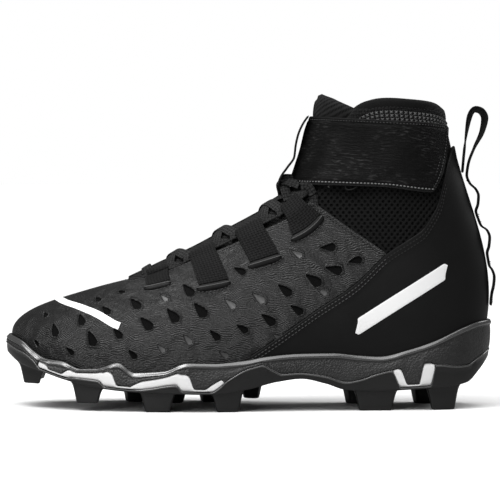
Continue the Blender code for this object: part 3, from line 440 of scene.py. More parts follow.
# flow is each point's place on the piece in millimetres, which the weaves and ribs follow
def addMesh(name, points, faces, materials, flow, slots=None, angle=38, tidy=True):
    mesh = bpy.data.meshes.new(name)
    mesh.from_pydata(toScene(points).tolist(), [], faces if isinstance(faces, list) else faces.tolist())
    for material in materials:
        mesh.materials.append(material)
    if slots is not None:
        mesh.polygons.foreach_set("material_index", np.asarray(slots, np.int32))
    layer = mesh.attributes.new("flow", "FLOAT_VECTOR", "POINT")
    layer.data.foreach_set("vector", np.asarray(flow, np.float32).ravel())
    if tidy:
        work = bmesh.new()
        work.from_mesh(mesh)
        bmesh.ops.recalc_face_normals(work, faces=work.faces)
        if work.calc_volume(signed=True) < 0:
            bmesh.ops.reverse_faces(work, faces=work.faces)
        work.to_mesh(mesh)
        work.free()
    mesh.shade_smooth()
    if angle < 180:
        mesh.set_sharp_from_angle(angle=math.radians(angle))
    piece = bpy.data.objects.new(name, mesh)
    bpy.context.scene.collection.objects.link(piece)
    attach(piece, "root")
    return piece


def gridFaces(rows, columns, start=0, closed=False, flip=False):
    r, c = np.meshgrid(np.arange(rows - 1), np.arange(columns if closed else columns - 1), indexing="ij")
    d = (c + 1) % columns
    quads = np.stack(
        [r * columns + c, r * columns + d, (r + 1) * columns + d, (r + 1) * columns + c], -1
    ).reshape(-1, 4)
    return (quads[:, ::-1] if flip else quads) + start


def borderFaces(rows, columns, half, closed=False):
    c = np.arange(columns if closed else columns - 1)
    d = (c + 1) % columns
    last = (rows - 1) * columns
    found = [
        np.stack([c, half + c, half + d, d], -1),
        np.stack([last + c, last + d, half + last + d, half + last + c], -1),
    ]
    if not closed:
        low = np.arange(rows - 1) * columns
        for edge in (0, columns - 1):
            a, b = low + edge, low + columns + edge
            found.append(np.stack([a, b, half + b, half + a], -1))
    return np.concatenate(found)


def thickGrid(name, outer, inner, materials, flow, closed=False, angle=38):
    outer, inner = np.asarray(outer, float), np.asarray(inner, float)
    rows, columns = outer.shape[:2]
    half = rows * columns
    faces = [gridFaces(rows, columns, 0, closed), gridFaces(rows, columns, half, closed, True)]
    faces.append(borderFaces(rows, columns, half, closed))
    points = np.concatenate([outer.reshape(-1, 3), inner.reshape(-1, 3)])
    flow = np.concatenate([flow.reshape(-1, 3)] * 2)
    return addMesh(name, points, np.concatenate(faces), materials, flow, None, angle)


# distance along the rows and up the columns of a grid, in millimetres
def gridFlow(grid):
    grid = np.asarray(grid, float)
    across = np.zeros(grid.shape[:2])
    upwards = np.zeros(grid.shape[:2])
    across[:, 1:] = np.cumsum(np.linalg.norm(np.diff(grid, axis=1), axis=2), axis=1)
    upwards[1:] = np.cumsum(np.linalg.norm(np.diff(grid, axis=0), axis=2), axis=0)
    return np.stack([across - across.mean(axis=1, keepdims=True), upwards, 0 * across], -1)


def gridNormals(grid, sign=1.0):
    grid = np.asarray(grid, float)
    return sign * unit(np.cross(np.gradient(grid, axis=0), np.gradient(grid, axis=1)))


# a strip of cloth or webbing: its edges and ends are rounded off over the thickness
def softSheet(name, grid, wall, sign, materials, lift=0.0, angle=50):
    grid = np.asarray(grid, float)
    normals = gridNormals(grid, sign)
    flow = gridFlow(grid)
    span = np.ptp(flow[..., 0], axis=1)[:, None]
    tall = np.ptp(flow[..., 1], axis=0)[None, :]
    fromSide = np.minimum(flow[..., 0] + span / 2, span / 2 - flow[..., 0])
    fromEnd = np.minimum(flow[..., 1], tall - flow[..., 1])
    reach = np.clip(np.minimum(fromSide, fromEnd) / (wall * 0.9), 0, 1)
    trim = quarterRound(reach) * 0.75 + 0.25
    top = grid + normals * (wall * (0.5 + 0.5 * trim) + lift)[..., None]
    under = grid + normals * (wall * (0.5 - 0.5 * trim))[..., None]
    return thickGrid(name, top, under, materials, flow, False, angle)


def smoothPath(points, count):
    points = np.asarray(points, float)
    steps = pathLengths(points)
    at = np.linspace(0, steps[-1], count)
    return np.stack([curveThrough(list(zip(steps, row)))(at) for row in points.T], -1)


def smoothColumns(rough, count):
    return np.stack([smoothPath(rough[:, c], count) for c in range(rough.shape[1])], 1)


# the faces of a tube of rings, with a cap at each end
def tubeFaces(rings, sides):
    caps = [list(range(sides))[::-1], list(range((rings - 1) * sides, rings * sides))]
    return gridFaces(rings, sides, 0, True).tolist() + caps


# a round cord or welt that lies along a path on a surface
def softTube(name, path, normals, width, height, materials, sides=8, ends=0.6):
    path, normals = np.asarray(path, float), np.asarray(normals, float)
    across = unit(np.cross(unit(np.gradient(path, axis=0)), normals))
    steps = pathLengths(path)
    near = np.clip(np.minimum(steps, steps[-1] - steps) / (width * ends), 0, 1)
    size = quarterRound(near) * 0.92 + 0.08
    angles = np.linspace(0, 2 * np.pi, sides, endpoint=False)
    wide = size[:, None] * np.cos(angles) * width / 2
    tall = size[:, None] * np.sin(angles) * height / 2
    rings = path[:, None] + across[:, None] * wide[..., None] + normals[:, None] * tall[..., None]
    n = len(path)
    faces = tubeFaces(n, sides)
    flow = np.stack([np.repeat(steps, sides), np.tile(angles * width / 4, n), np.zeros(n * sides)], -1)
    return addMesh(name, rings.reshape(-1, 3), faces, materials, flow, angle=60)


def joinPieces(name, pieces):
    with bpy.context.temp_override(active_object=pieces[0], selected_editable_objects=pieces):
        bpy.ops.object.join()
    pieces[0].name = name
    return pieces[0]


# evenly spaced places along a path, with the ways ahead and up at each
def alongPath(path, normals, pitch):
    path, normals = np.asarray(path, float), np.asarray(normals, float)
    steps = pathLengths(path)
    count = max(int(steps[-1] / pitch), 2)
    at = (np.arange(count) + 0.5) * steps[-1] / count
    ahead = atLengths(at + 0.3, steps, path) - atLengths(at - 0.3, steps, path)
    return atLengths(at, steps, path), unit(ahead), unit(atLengths(at, steps, normals))


# thread: one small crowned capsule for each stitch, sunk a little at both ends
def addStitches(name, paths, material, pitch, width, height, longShare=0.72, slant=0.0):
    stations, sides = 5, 6
    t = np.linspace(-1, 1, stations)
    swell = np.sqrt(1 - t**2 * 0.93)[:, None]
    angles = np.linspace(0, 2 * np.pi, sides, endpoint=False)
    wide = np.cos(angles) * swell * width / 2
    tall = np.sin(angles) * swell * height / 2 + (swell - 0.6) * height * 0.4 + 0.02
    block = np.array(gridFaces(stations, sides, 0, True))
    caps = np.array([range(sides)[::-1], range((stations - 1) * sides, stations * sides)])
    points, faces, count = [], [], 0
    for path, normals in paths:
        places, ahead, ups = alongPath(path, normals, pitch)
        turned = ahead * math.cos(slant) + unit(np.cross(ups, ahead)) * math.sin(slant)
        side = np.cross(ups, turned)
        capsules = (
            places[:, None, None]
            + turned[:, None, None] * (t * pitch * longShare / 2)[:, None, None]
            + side[:, None, None] * wide[..., None]
            + ups[:, None, None] * tall[..., None]
        )
        for _ in places:
            faces += (block + count).tolist() + (caps + count).tolist()
            count += stations * sides
        points.append(capsules.reshape(-1, 3))
    points = np.concatenate(points)
    return addMesh(name, points, faces, [material], points, angle=180, tidy=False)



# Shader helpers: each effect that several materials share is a node group with named sockets


def addNode(tree, kind, **settings):
    made = tree.nodes.new("ShaderNode" + kind)
    for title, value in settings.items():
        setattr(made, title, value)
    return made


def feed(tree, socket, value):
    if hasattr(value, "is_linked"):
        tree.links.new(value, socket)
    elif value is not None:
        socket.default_value = value


def sumUp(tree, operation, *values):
    made = addNode(tree, "Math", operation=operation)
    for socket, value in zip(made.inputs, values):
        feed(tree, socket, value)
    return made.outputs[0]


def times(tree, a, b):
    return sumUp(tree, "MULTIPLY", a, b)


def vectorUp(tree, operation, a, b):
    made = addNode(tree, "VectorMath", operation=operation)
    feed(tree, made.inputs[0], a)
    feed(tree, made.inputs["Scale"] if operation == "SCALE" else made.inputs[1], b)
    return made.outputs[0]


def spread(tree, value, low, high, toLow=0.0, toHigh=1.0, smooth=False):
    made = addNode(tree, "MapRange", interpolation_type="SMOOTHSTEP" if smooth else "LINEAR")
    for title, number in (
        ("Value", value), ("From Min", low), ("From Max", high), ("To Min", toLow), ("To Max", toHigh)
    ):
        feed(tree, made.inputs[title], number)
    return made.outputs[0]


def noiseAt(tree, place, scale, detail=2.0, rough=0.5, output=0):
    made = addNode(tree, "TexNoise", noise_dimensions="3D")
    for title, value in (("Vector", place), ("Scale", scale), ("Detail", detail), ("Roughness", rough)):
        feed(tree, made.inputs[title], value)
    return made.outputs[output]


# sideways and upward parts of a vector, each divided by a pitch and turned into an angle
def latticeAngles(tree, place, start, turn):
    split = addNode(tree, "SeparateXYZ")
    tree.links.new(place, split.inputs[0])
    return [
        times(tree, sumUp(tree, "DIVIDE", split.outputs[axis], start.outputs[pitch]), turn)
        for axis, pitch in (("X", "Across"), ("Y", "Up"))
    ]


# a node group that takes a place in millimetres, numbers and colours
def newGroup(title, inputs, outputs):
    group = bpy.data.node_groups.new(title, "ShaderNodeTree")
    group.interface.new_socket("Place", in_out="INPUT", socket_type="NodeSocketVector")
    for name, value in inputs.items():
        kind = "Color" if isinstance(value, tuple) else "Float"
        socket = group.interface.new_socket(name, in_out="INPUT", socket_type="NodeSocket" + kind)
        socket.default_value = value
    for name, kind in outputs.items():
        group.interface.new_socket(name, in_out="OUTPUT", socket_type="NodeSocket" + kind)
    start, end = group.nodes.new("NodeGroupInput"), group.nodes.new("NodeGroupOutput")
    return group, start, end, start.outputs["Place"]


# wandering ribs, like the ridges of a fingertip
def makeRibs():
    inputs = {"Pitch": 0.8, "Wander": 2.2, "Swirl Size": 16.0}
    group, start, end, place = newGroup("wanderingRibs", inputs, {"Height": "Float"})
    slow = sumUp(group, "DIVIDE", 1.0, start.outputs["Swirl Size"])
    wide = noiseAt(group, place, slow, 1.0)
    fine = noiseAt(group, place, times(group, slow, 3.6), 1.0)
    split = addNode(group, "SeparateXYZ")
    group.links.new(place, split.inputs[0])
    warp = sumUp(group, "ADD", times(group, wide, 4.0), times(group, fine, 1.0))
    bent = sumUp(group, "MULTIPLY_ADD", warp, start.outputs["Wander"], split.outputs["Y"])
    turns = sumUp(group, "DIVIDE", bent, start.outputs["Pitch"])
    wave = sumUp(group, "SINE", times(group, turns, 2 * math.pi))
    height = sumUp(group, "MULTIPLY_ADD", wave, 0.5, 0.5)
    broken = spread(group, noiseAt(group, place, 0.9, 1.0), 0.3, 0.6, 0.35, 1.0)
    group.links.new(times(group, height, broken), end.inputs["Height"])
    return group


# threads that go over and under each other
def makeWeave():
    inputs = {"Across": 1.2, "Up": 1.2, "Looseness": 0.25}
    group, start, end, place = newGroup("wovenThreads", inputs, {"Height": "Float", "Shade": "Float"})
    drift = vectorUp(group, "SUBTRACT", noiseAt(group, place, 0.35, 1.0, output="Color"), (0.5, 0.5, 0.5))
    bent = vectorUp(group, "ADD", place, vectorUp(group, "SCALE", drift, start.outputs["Looseness"]))
    sinA, sinB = [sumUp(group, "SINE", angle) for angle in latticeAngles(group, bent, start, math.pi)]
    over = sumUp(group, "GREATER_THAN", times(group, sinA, sinB), 0.0)
    warp = times(group, sumUp(group, "ABSOLUTE", sinA), sumUp(group, "MULTIPLY_ADD", over, 0.55, 0.45))
    weft = times(group, sumUp(group, "ABSOLUTE", sinB), sumUp(group, "MULTIPLY_ADD", over, -0.55, 1.0))
    height = sumUp(group, "MAXIMUM", warp, weft)
    fuzz = noiseAt(group, place, 2.6, 2.0)
    group.links.new(sumUp(group, "MULTIPLY_ADD", fuzz, 0.35, times(group, height, 0.8)), end.inputs["Height"])
    # painted shade: Shade makes the low threads darker than the high ones, as the shade between them
    group.links.new(spread(group, height, 0.1, 0.9), end.inputs["Shade"])
    return group


# a staggered grid of openings in a knit
def makeOpenings():
    inputs = {"Across": 2.4, "Up": 2.4, "Open": 0.35}
    group, start, end, place = newGroup("knitOpenings", inputs, {"Hole": "Float", "Height": "Float"})
    a, b = latticeAngles(group, place, start, 2 * math.pi)
    wave = times(group, sumUp(group, "COSINE", a), sumUp(group, "COSINE", b))
    openAt = start.outputs["Open"]
    hole = spread(group, wave, openAt, sumUp(group, "ADD", openAt, 0.25), smooth=True)
    fuzz = noiseAt(group, place, 2.2, 3.0)
    height = sumUp(group, "MULTIPLY_ADD", fuzz, 0.3, sumUp(group, "SUBTRACT", 1.0, hole))
    group.links.new(hole, end.inputs["Hole"])
    group.links.new(height, end.inputs["Height"])
    return group


# the fine sand texture of a spark-finished mould
def makePebbles():
    group, start, end, place = newGroup("mouldedPebbles", {"Size": 0.9}, {"Height": "Float"})
    cells = addNode(group, "TexVoronoi", feature="SMOOTH_F1")
    cells.inputs["Smoothness"].default_value = 0.6
    group.links.new(place, cells.inputs["Vector"])
    group.links.new(sumUp(group, "DIVIDE", 1.0, start.outputs["Size"]), cells.inputs["Scale"])
    grain = noiseAt(group, place, 1.7, 3.0)
    dome = sumUp(group, "SUBTRACT", 1.0, cells.outputs["Distance"])
    group.links.new(sumUp(group, "MULTIPLY_ADD", grain, 0.45, times(group, dome, 0.7)), end.inputs["Height"])
    return group


# uneven handling: faint clouding of the colour and of the gloss
def makeHandling():
    inputs = {
        "Colour": (0.03, 0.03, 0.03, 1), "Rubbed Colour": (0.06, 0.06, 0.06, 1), "Amount": 0.4,
        "Gloss Low": 0.45, "Gloss High": 0.6,
    }
    group, start, end, place = newGroup("handling", inputs, {"Colour": "Color", "Roughness": "Float"})
    cloud = noiseAt(group, place, 0.045, 4.0, 0.6)
    fine = noiseAt(group, place, 0.6, 3.0)
    mask = spread(group, sumUp(group, "MULTIPLY_ADD", fine, 0.35, times(group, cloud, 0.75)), 0.38, 0.78)
    mix = addNode(group, "Mix", data_type="RGBA")
    group.links.new(times(group, mask, start.outputs["Amount"]), mix.inputs["Factor"])
    group.links.new(start.outputs["Colour"], mix.inputs["A"])
    group.links.new(start.outputs["Rubbed Colour"], mix.inputs["B"])
    group.links.new(mix.outputs["Result"], end.inputs["Colour"])
    uneven = sumUp(group, "MULTIPLY_ADD", fine, 0.5, times(group, cloud, 0.5))
    rough = spread(group, uneven, 0.3, 0.7, start.outputs["Gloss Low"], start.outputs["Gloss High"])
    group.links.new(rough, end.inputs["Roughness"])
    return group


ribs, weave, openings = makeRibs(), makeWeave(), makeOpenings()
pebbles, handling = makePebbles(), makeHandling()
print("shared shader groups ready")


def placeGroup(tree, group, **values):
    made = addNode(tree, "Group")
    made.node_tree = group
    for title, value in values.items():
        feed(tree, made.inputs[title.replace("_", " ")], value)
    return made


def grey(level):
    return (level, level, level, 1)


# starts a material: its place is in millimetres, and its colour is clouded by handling
def startMaterial(name, colour, rubbed, amount, gloss, shine):
    material = bpy.data.materials.new(name)
    material.use_nodes = True
    material.diffuse_color = colour
    tree = material.node_tree
    shader = tree.nodes["Principled BSDF"]
    place = addNode(tree, "Attribute", attribute_name="flow").outputs["Vector"]
    worn = placeGroup(
        tree, handling, Place=place, Colour=colour, Rubbed_Colour=rubbed, Amount=amount,
        Gloss_Low=gloss[0], Gloss_High=gloss[1],
    )
    tree.links.new(worn.outputs["Colour"], shader.inputs["Base Color"])
    tree.links.new(worn.outputs["Roughness"], shader.inputs["Roughness"])
    shader.inputs["Metallic"].default_value = 0.0
    shader.inputs["Specular IOR Level"].default_value = shine
    return material, tree, shader, place, worn.outputs["Colour"]


def bumpFrom(tree, shader, height, distance, under=None):
    bump = addNode(tree, "Bump")
    bump.inputs["Strength"].default_value = 1.0
    bump.inputs["Distance"].default_value = distance * 0.001
    tree.links.new(height, bump.inputs["Height"])
    if under is not None:
        tree.links.new(under, bump.inputs["Normal"])
    tree.links.new(bump.outputs["Normal"], shader.inputs["Normal"])
    return bump.outputs["Normal"]


def shadeBy(tree, shader, mask, dark, light):
    mix = addNode(tree, "Mix", data_type="RGBA")
    tree.links.new(mask, mix.inputs["Factor"])
    feed(tree, mix.inputs["A"], dark)
    feed(tree, mix.inputs["B"], light)
    tree.links.new(mix.outputs["Result"], shader.inputs["Base Color"])


vampFinish = {
    "colour": grey(0.0085), "rubbed": grey(0.021), "gloss": (0.38, 0.50),
    "pitch": 0.95, "wander": 2.0, "depth": 0.26,
}


def makeVampMaterial():
    f = vampFinish
    material, tree, shader, place, worn = startMaterial(
        "ribbedSkin", f["colour"], f["rubbed"], 0.6, f["gloss"], 0.30
    )
    ridge = placeGroup(tree, ribs, Place=place, Pitch=f["pitch"], Wander=f["wander"], Swirl_Size=15.0)
    ribShadeMask = spread(tree, ridge.outputs["Height"], 0.15, 0.90, 0.10, 1.0)
    # painted shade: the troughs between the ribs are painted near black, while the crests keep the skin's
    # colour
    shadeBy(tree, shader, ribShadeMask, grey(0.002), worn)
    bumpFrom(tree, shader, ridge.outputs["Height"], f["depth"])
    return material


def makeSmoothSkin(name, colour, rubbed, gloss, grain, shine=0.2):
    material, tree, shader, place, _ = startMaterial(name, colour, rubbed, 0.5, gloss, shine)
    bumpFrom(tree, shader, noiseAt(tree, place, 1.6, 4.0, 0.6), grain)
    return material


def makeWoven(name, colour, light, across, up, depth, looseness=0.25):
    material, tree, shader, place, worn = startMaterial(name, colour, light, 0.5, (0.7, 0.85), 0.12)
    cloth = placeGroup(tree, weave, Place=place, Across=across, Up=up, Looseness=looseness)
    # painted shade: the low threads get a quarter of the cloth's colour
    shadeBy(tree, shader, cloth.outputs["Shade"], grey(colour[0] * 0.25), worn)
    bumpFrom(tree, shader, cloth.outputs["Height"], depth)
    return material


# satin whose threads bunch into long level slubs: the slubs are a bump, and their lighter streaks are painted
# sheen
def makeSlubCloth(name, colour, light, gloss):
    material, tree, shader, place, worn = startMaterial(name, colour, grey(colour[0] * 1.8), 0.5, gloss, 0.1)
    stretched = vectorUp(tree, "MULTIPLY", place, (0.22, 0.95, 1.0))
    slub = noiseAt(tree, stretched, 0.9, 4.0, 0.62)
    sheenStreak = spread(tree, slub, 0.50, 0.72, smooth=True)
    sheenPatch = spread(tree, noiseAt(tree, place, 0.045, 2.0), 0.42, 0.62, smooth=True)
    shadeBy(tree, shader, times(tree, sheenStreak, sheenPatch), worn, light)
    cloth = placeGroup(tree, weave, Place=place, Across=0.7, Up=0.5, Looseness=0.3)
    fine = bumpFrom(tree, shader, cloth.outputs["Height"], 0.06)
    bumpFrom(tree, shader, slub, 0.55, fine)
    return material


def makeOpenKnit(name, colour, light, across, up, depth, openAt=0.35):
    material, tree, shader, place, worn = startMaterial(name, colour, light, 0.6, (0.75, 0.9), 0.1)
    knit = placeGroup(tree, openings, Place=place, Across=across, Up=up, Open=openAt)
    solid = sumUp(tree, "SUBTRACT", 1.0, knit.outputs["Hole"])
    # painted shade: the knit's openings are painted near black, as the shade inside them
    shadeBy(tree, shader, solid, grey(0.0012), worn)
    bumpFrom(tree, shader, knit.outputs["Height"], depth)
    return material


def makePebbled(name, colour, light, gloss, size, depth):
    material, tree, shader, place, _ = startMaterial(name, colour, light, 0.6, gloss, 0.35)
    bumpFrom(tree, shader, placeGroup(tree, pebbles, Place=place, Size=size).outputs["Height"], depth)
    return material


finish = {
    "vamp": makeVampMaterial(),
    "quarter": makeSmoothSkin("smoothSkin", grey(0.0048), grey(0.0075), (0.48, 0.60), 0.02, shine=0.13),
    # the perforations' floors: black knit, painted darker still as the shade inside each pit
    "pit": makeOpenKnit("pitKnitShade", grey(0.0008), grey(0.0014), 1.6, 1.6, 0.2),
    "facet": makeSmoothSkin("glossyFacet", grey(0.040), grey(0.055), (0.34, 0.42), 0.01, shine=0.35),
    "bootie": makeWoven("bootieKnit", grey(0.0035), grey(0.006), 0.9, 0.9, 0.10),
    "mesh": makeOpenKnit("ankleMesh", grey(0.0034), grey(0.0075), 3.6, 4.4, 0.3, 0.25),
    "tongue": makeOpenKnit("tongueKnit", grey(0.014), grey(0.034), 2.0, 2.6, 0.35, 0.15),
    "collarKnit": makeWoven("collarKnit", grey(0.007), grey(0.026), 2.2, 2.2, 0.45, looseness=0.5),
    "collarSmooth": makeWoven("collarTricot", grey(0.0045), grey(0.008), 0.7, 0.7, 0.08),
    # the strap's lighter colour is the painted sheen along its slubs
    "strap": makeSlubCloth("strapSatin", grey(0.0018), grey(0.034), (0.42, 0.6)),
    "strapEdge": makeWoven("strapBinding", grey(0.010), grey(0.022), 0.8, 1.4, 0.16),
    "web": makeWoven("loopWebbing", grey(0.0055), grey(0.026), 1.9, 1.6, 0.5),
    "lace": makeWoven("flatLace", grey(0.010), grey(0.075), 2.0, 2.2, 0.6),
    "ribbon": makeWoven("pullRibbon", grey(0.006), grey(0.012), 0.9, 0.7, 0.1),
    "thread": makeSmoothSkin("sewingThread", grey(0.045), grey(0.075), (0.5, 0.65), 0.05),
    "threadDark": makeSmoothSkin("darkThread", grey(0.012), grey(0.022), (0.5, 0.65), 0.05),
    "yarn": makeWoven("collarYarn", grey(0.10), grey(0.16), 0.5, 0.5, 0.1),
    # a thread painted light, as the highlight along the strap's lower stitch row
    "threadHighlight": makeSmoothSkin("litThreadHighlight", grey(0.13), grey(0.22), (0.45, 0.6), 0.05, shine=0.4),
    "cage": makePebbled("cageRubber", grey(0.011), grey(0.042), (0.40, 0.50), 1.1, 0.55),
    # the lip is glossy rubber, and its colour, lighter than the cage's, paints a highlight line along it
    "lip": makeSmoothSkin("cageLipHighlight", grey(0.036), grey(0.055), (0.18, 0.26), 0.004, shine=1.0),
    "stud": makeSmoothSkin("studRubber", grey(0.0065), grey(0.012), (0.33, 0.45), 0.02, shine=0.35),
    "plate": makeSmoothSkin("whitePlate", grey(0.74), grey(0.68), (0.32, 0.42), 0.015, shine=0.5),
    "print": makeSmoothSkin("whitePrint", grey(0.86), grey(0.80), (0.36, 0.46), 0.01, shine=0.5),
    "insole": makeWoven("insoleCloth", grey(0.008), grey(0.016), 1.0, 1.0, 0.12),
}
print("materials ready:", len(finish))

# Places on the shoe


def sideTable(side):
    shares, vs = np.meshgrid(np.linspace(0.01, 0.99, 170), np.linspace(0.0, 1.0, 70), indexing="ij")
    return shares.ravel(), vs.ravel(), lastPoint(station(side, shares.ravel()), vs.ravel())


sideTables = {side: sideTable(side) for side in (-1, 1)}


# share and v of places given by x and z in the side view
def findOnSide(side, x, z):
    x, z = np.atleast_1d(np.asarray(x, float)), np.atleast_1d(np.asarray(z, float))
    shares, vs, points = sideTables[side]
    near = np.array([np.argmin((points[:, 0] - a) ** 2 + (points[:, 2] - b) ** 2) for a, b in zip(x, z)])
    share, v = shares[near].copy(), vs[near].copy()

    def reach(s, t):
        found = lastPoint(station(side, s), t)
        return found[..., 0] - x, found[..., 2] - z

    for _ in range(6):
        fx, fz = reach(share, v)
        ax, az = reach(share + 1e-4, v)
        bx, bz = reach(share, v + 1e-4)
        ax, az, bx, bz = (ax - fx) / 1e-4, (az - fz) / 1e-4, (bx - fx) / 1e-4, (bz - fz) / 1e-4
        turn = ax * bz - bx * az
        turn = np.where(np.abs(turn) < 1e-6, 1e-6, turn)
        share = share - np.clip((fx * bz - bx * fz) / turn, -0.02, 0.02)
        v = v - np.clip((ax * fz - fx * az) / turn, -0.05, 0.05)
        share, v = np.clip(share, 0.001, 0.999), np.clip(v, 0.0, 1.2)
    return share, v


def wayOf(side, share):
    return heelKnot * np.asarray(share) if side < 0 else -(wholeRound - heelKnot) * np.asarray(share)


def easedShares(count, cluster=0.75):
    t = np.linspace(0, 1, count)
    return cluster * (1 - np.cos(np.pi * t)) / 2 + (1 - cluster) * t


def meridianScale(u, v):
    return np.linalg.norm(lastPoint(u, v + 0.002) - lastPoint(u, v - 0.002), axis=-1) / 0.004


# a skin between two heights on the upper, with rounded edges and the relief that depthOf gives
def skinGrid(us, lowV, highV, rows, depthOf, endRound):
    t = easedShares(rows)[:, None]
    u = np.broadcast_to(us[None, :], (rows, len(us)))
    v = lowV[None, :] + (highV - lowV)[None, :] * t
    plain = lastPoint(u, v)
    climb = gridFlow(plain)[..., 1]
    fromHigh = climb.max(axis=0)[None, :] - climb
    along = np.cumsum(np.linalg.norm(np.diff(plain, axis=1, prepend=plain[:, :1]), axis=2), axis=1)
    reach = np.minimum(np.minimum(climb, fromHigh), np.minimum(along, along[:, -1:] - along))
    drop = 0.5 * (1 - quarterRound(np.clip(reach / endRound, 0, 1)))
    normals = lastNormal(u, v)
    # the texture's place is measured from the feather edge, whatever the skin's own edges do
    whole = np.linspace(0, 1, 90)
    meridians = lastPoint(us[None, :], whole[:, None])
    climbs = np.cumsum(np.linalg.norm(np.diff(meridians, axis=0, prepend=meridians[:1]), axis=2), axis=0)
    upTo = np.stack([np.interp(v[:, c], whole, climbs[:, c]) for c in range(len(us))], -1)
    around = pathLengths(lastPoint(us, 0.45))
    flow = np.stack([around[None, :] + 0 * t, upTo, 0 * u], -1)
    outer = plain - normals * (drop + depthOf(u, climb, fromHigh, plain))[..., None]
    inner = plain - normals * (shoe["skinWall"] - drop)[..., None]
    return outer, inner, flow, u, v


# Vamp: the ribbed skin of toe and eyestays, with its perforations

vamp = {
    "foot": 0.015,
    "rows": 62,
    "columns": 420,
    "pitDepth": 0.72,
    "lipRise": 0.28,
}

# share, v, size in mm (negative sizes are shallow glossy facets), degrees that the long axis falls
perforations = (
    (0.0707, 0.474, 5.2, 20), (0.1720, 0.462, 7.4, 48), (0.1570, 0.713, 5.2, 30), (0.2072, 0.786, 5.2, 25),
    (0.2765, 0.600, 8.0, 42), (0.2151, 0.557, 6.6, 34), (0.3143, 0.407, 8.6, 38), (0.2625, 0.332, 6.4, 36),
    (0.1292, 0.318, 7.8, 40), (0.2127, 0.284, 8.6, 50), (0.0968, 0.151, 4.6, 20), (0.1757, 0.160, 5.2, 20),
    (0.2970, 0.176, 5.6, 35), (0.3636, 0.456, 8.8, 45), (0.3859, 0.653, 8.4, 50), (0.3379, 0.620, -5.6, 40),
    (0.4154, 0.478, 9.4, 46), (0.3967, 0.276, -6.6, 40), (0.3491, 0.219, -5.8, 35), (0.4468, 0.295, 6.6, 38),
    (0.4719, 0.494, -7.4, 45), (0.4886, 0.720, 6.4, 35), (0.4973, 0.303, 6.4, 35), (0.4649, 0.163, -5.6, 30),
    (0.6799, 0.649, 7.6, 28), (0.7305, 0.486, 7.0, 20), (0.6833, 0.523, 8.6, 38), (0.6369, 0.517, 9.4, 42),
    (0.6073, 0.714, -6.6, 40), (0.5779, 0.495, 8.4, 42), (0.5266, 0.485, -8.0, 42), (0.5995, 0.357, 7.4, 30),
    (0.5456, 0.325, 8.4, 38), (0.5124, 0.135, -5.8, 30), (0.6514, 0.439, -6.2, 35), (0.5632, 0.200, -6.2, 30),
)
dropShape = ((-0.68, 0.17), (0.04, 0.30), (0.42, 0.27), (0.58, -0.05), (0.32, -0.36), (-0.02, -0.22))


def roundedShape(corners, size, count=32):
    points = np.array(corners) * size
    ahead = np.roll(points, -1, axis=0)  # corner cutting softens the corners a little
    points = np.stack([points * 0.91 + ahead * 0.09, points * 0.09 + ahead * 0.91], 1).reshape(-1, 2)
    closed = np.vstack([points, points[:1]])
    steps = pathLengths(closed)
    return atLengths(np.linspace(0, steps[-1], count, endpoint=False), steps, closed)


def offsetShape(shape, out):
    tangent = unit(np.roll(shape, -1, axis=0) - np.roll(shape, 1, axis=0))
    normal = np.stack([tangent[:, 1], -tangent[:, 0]], -1)
    area = np.sum(shape[:, 0] * np.roll(shape[:, 1], -1) - np.roll(shape[:, 0], -1) * shape[:, 1])
    return shape + normal * out * (1 if area > 0 else -1)


def insideShape(shape, points):
    x, y = points[:, 0][:, None], points[:, 1][:, None]
    ax, ay = shape[:, 0][None], shape[:, 1][None]
    bx, by = np.roll(shape[:, 0], -1)[None], np.roll(shape[:, 1], -1)[None]
    crossing = (ay > y) != (by > y)
    at = ax + (y - ay) * (bx - ax) / np.where(by == ay, 1e-9, by - ay)
    return np.sum(crossing & (x < at), axis=1) % 2 == 1


# rings round a perforation: how far out of its outline each lies, and how deep
pitRings = (
    (0.95, 0.0), (0.42, -vamp["lipRise"]), (0.12, -vamp["lipRise"] * 0.4),
    (-0.06, 0.35), (-0.20, vamp["pitDepth"]),
)
facetRings = ((0.95, 0.0), (0.40, -vamp["lipRise"] * 0.5), (0.05, 0.10), (-0.35, 0.30))


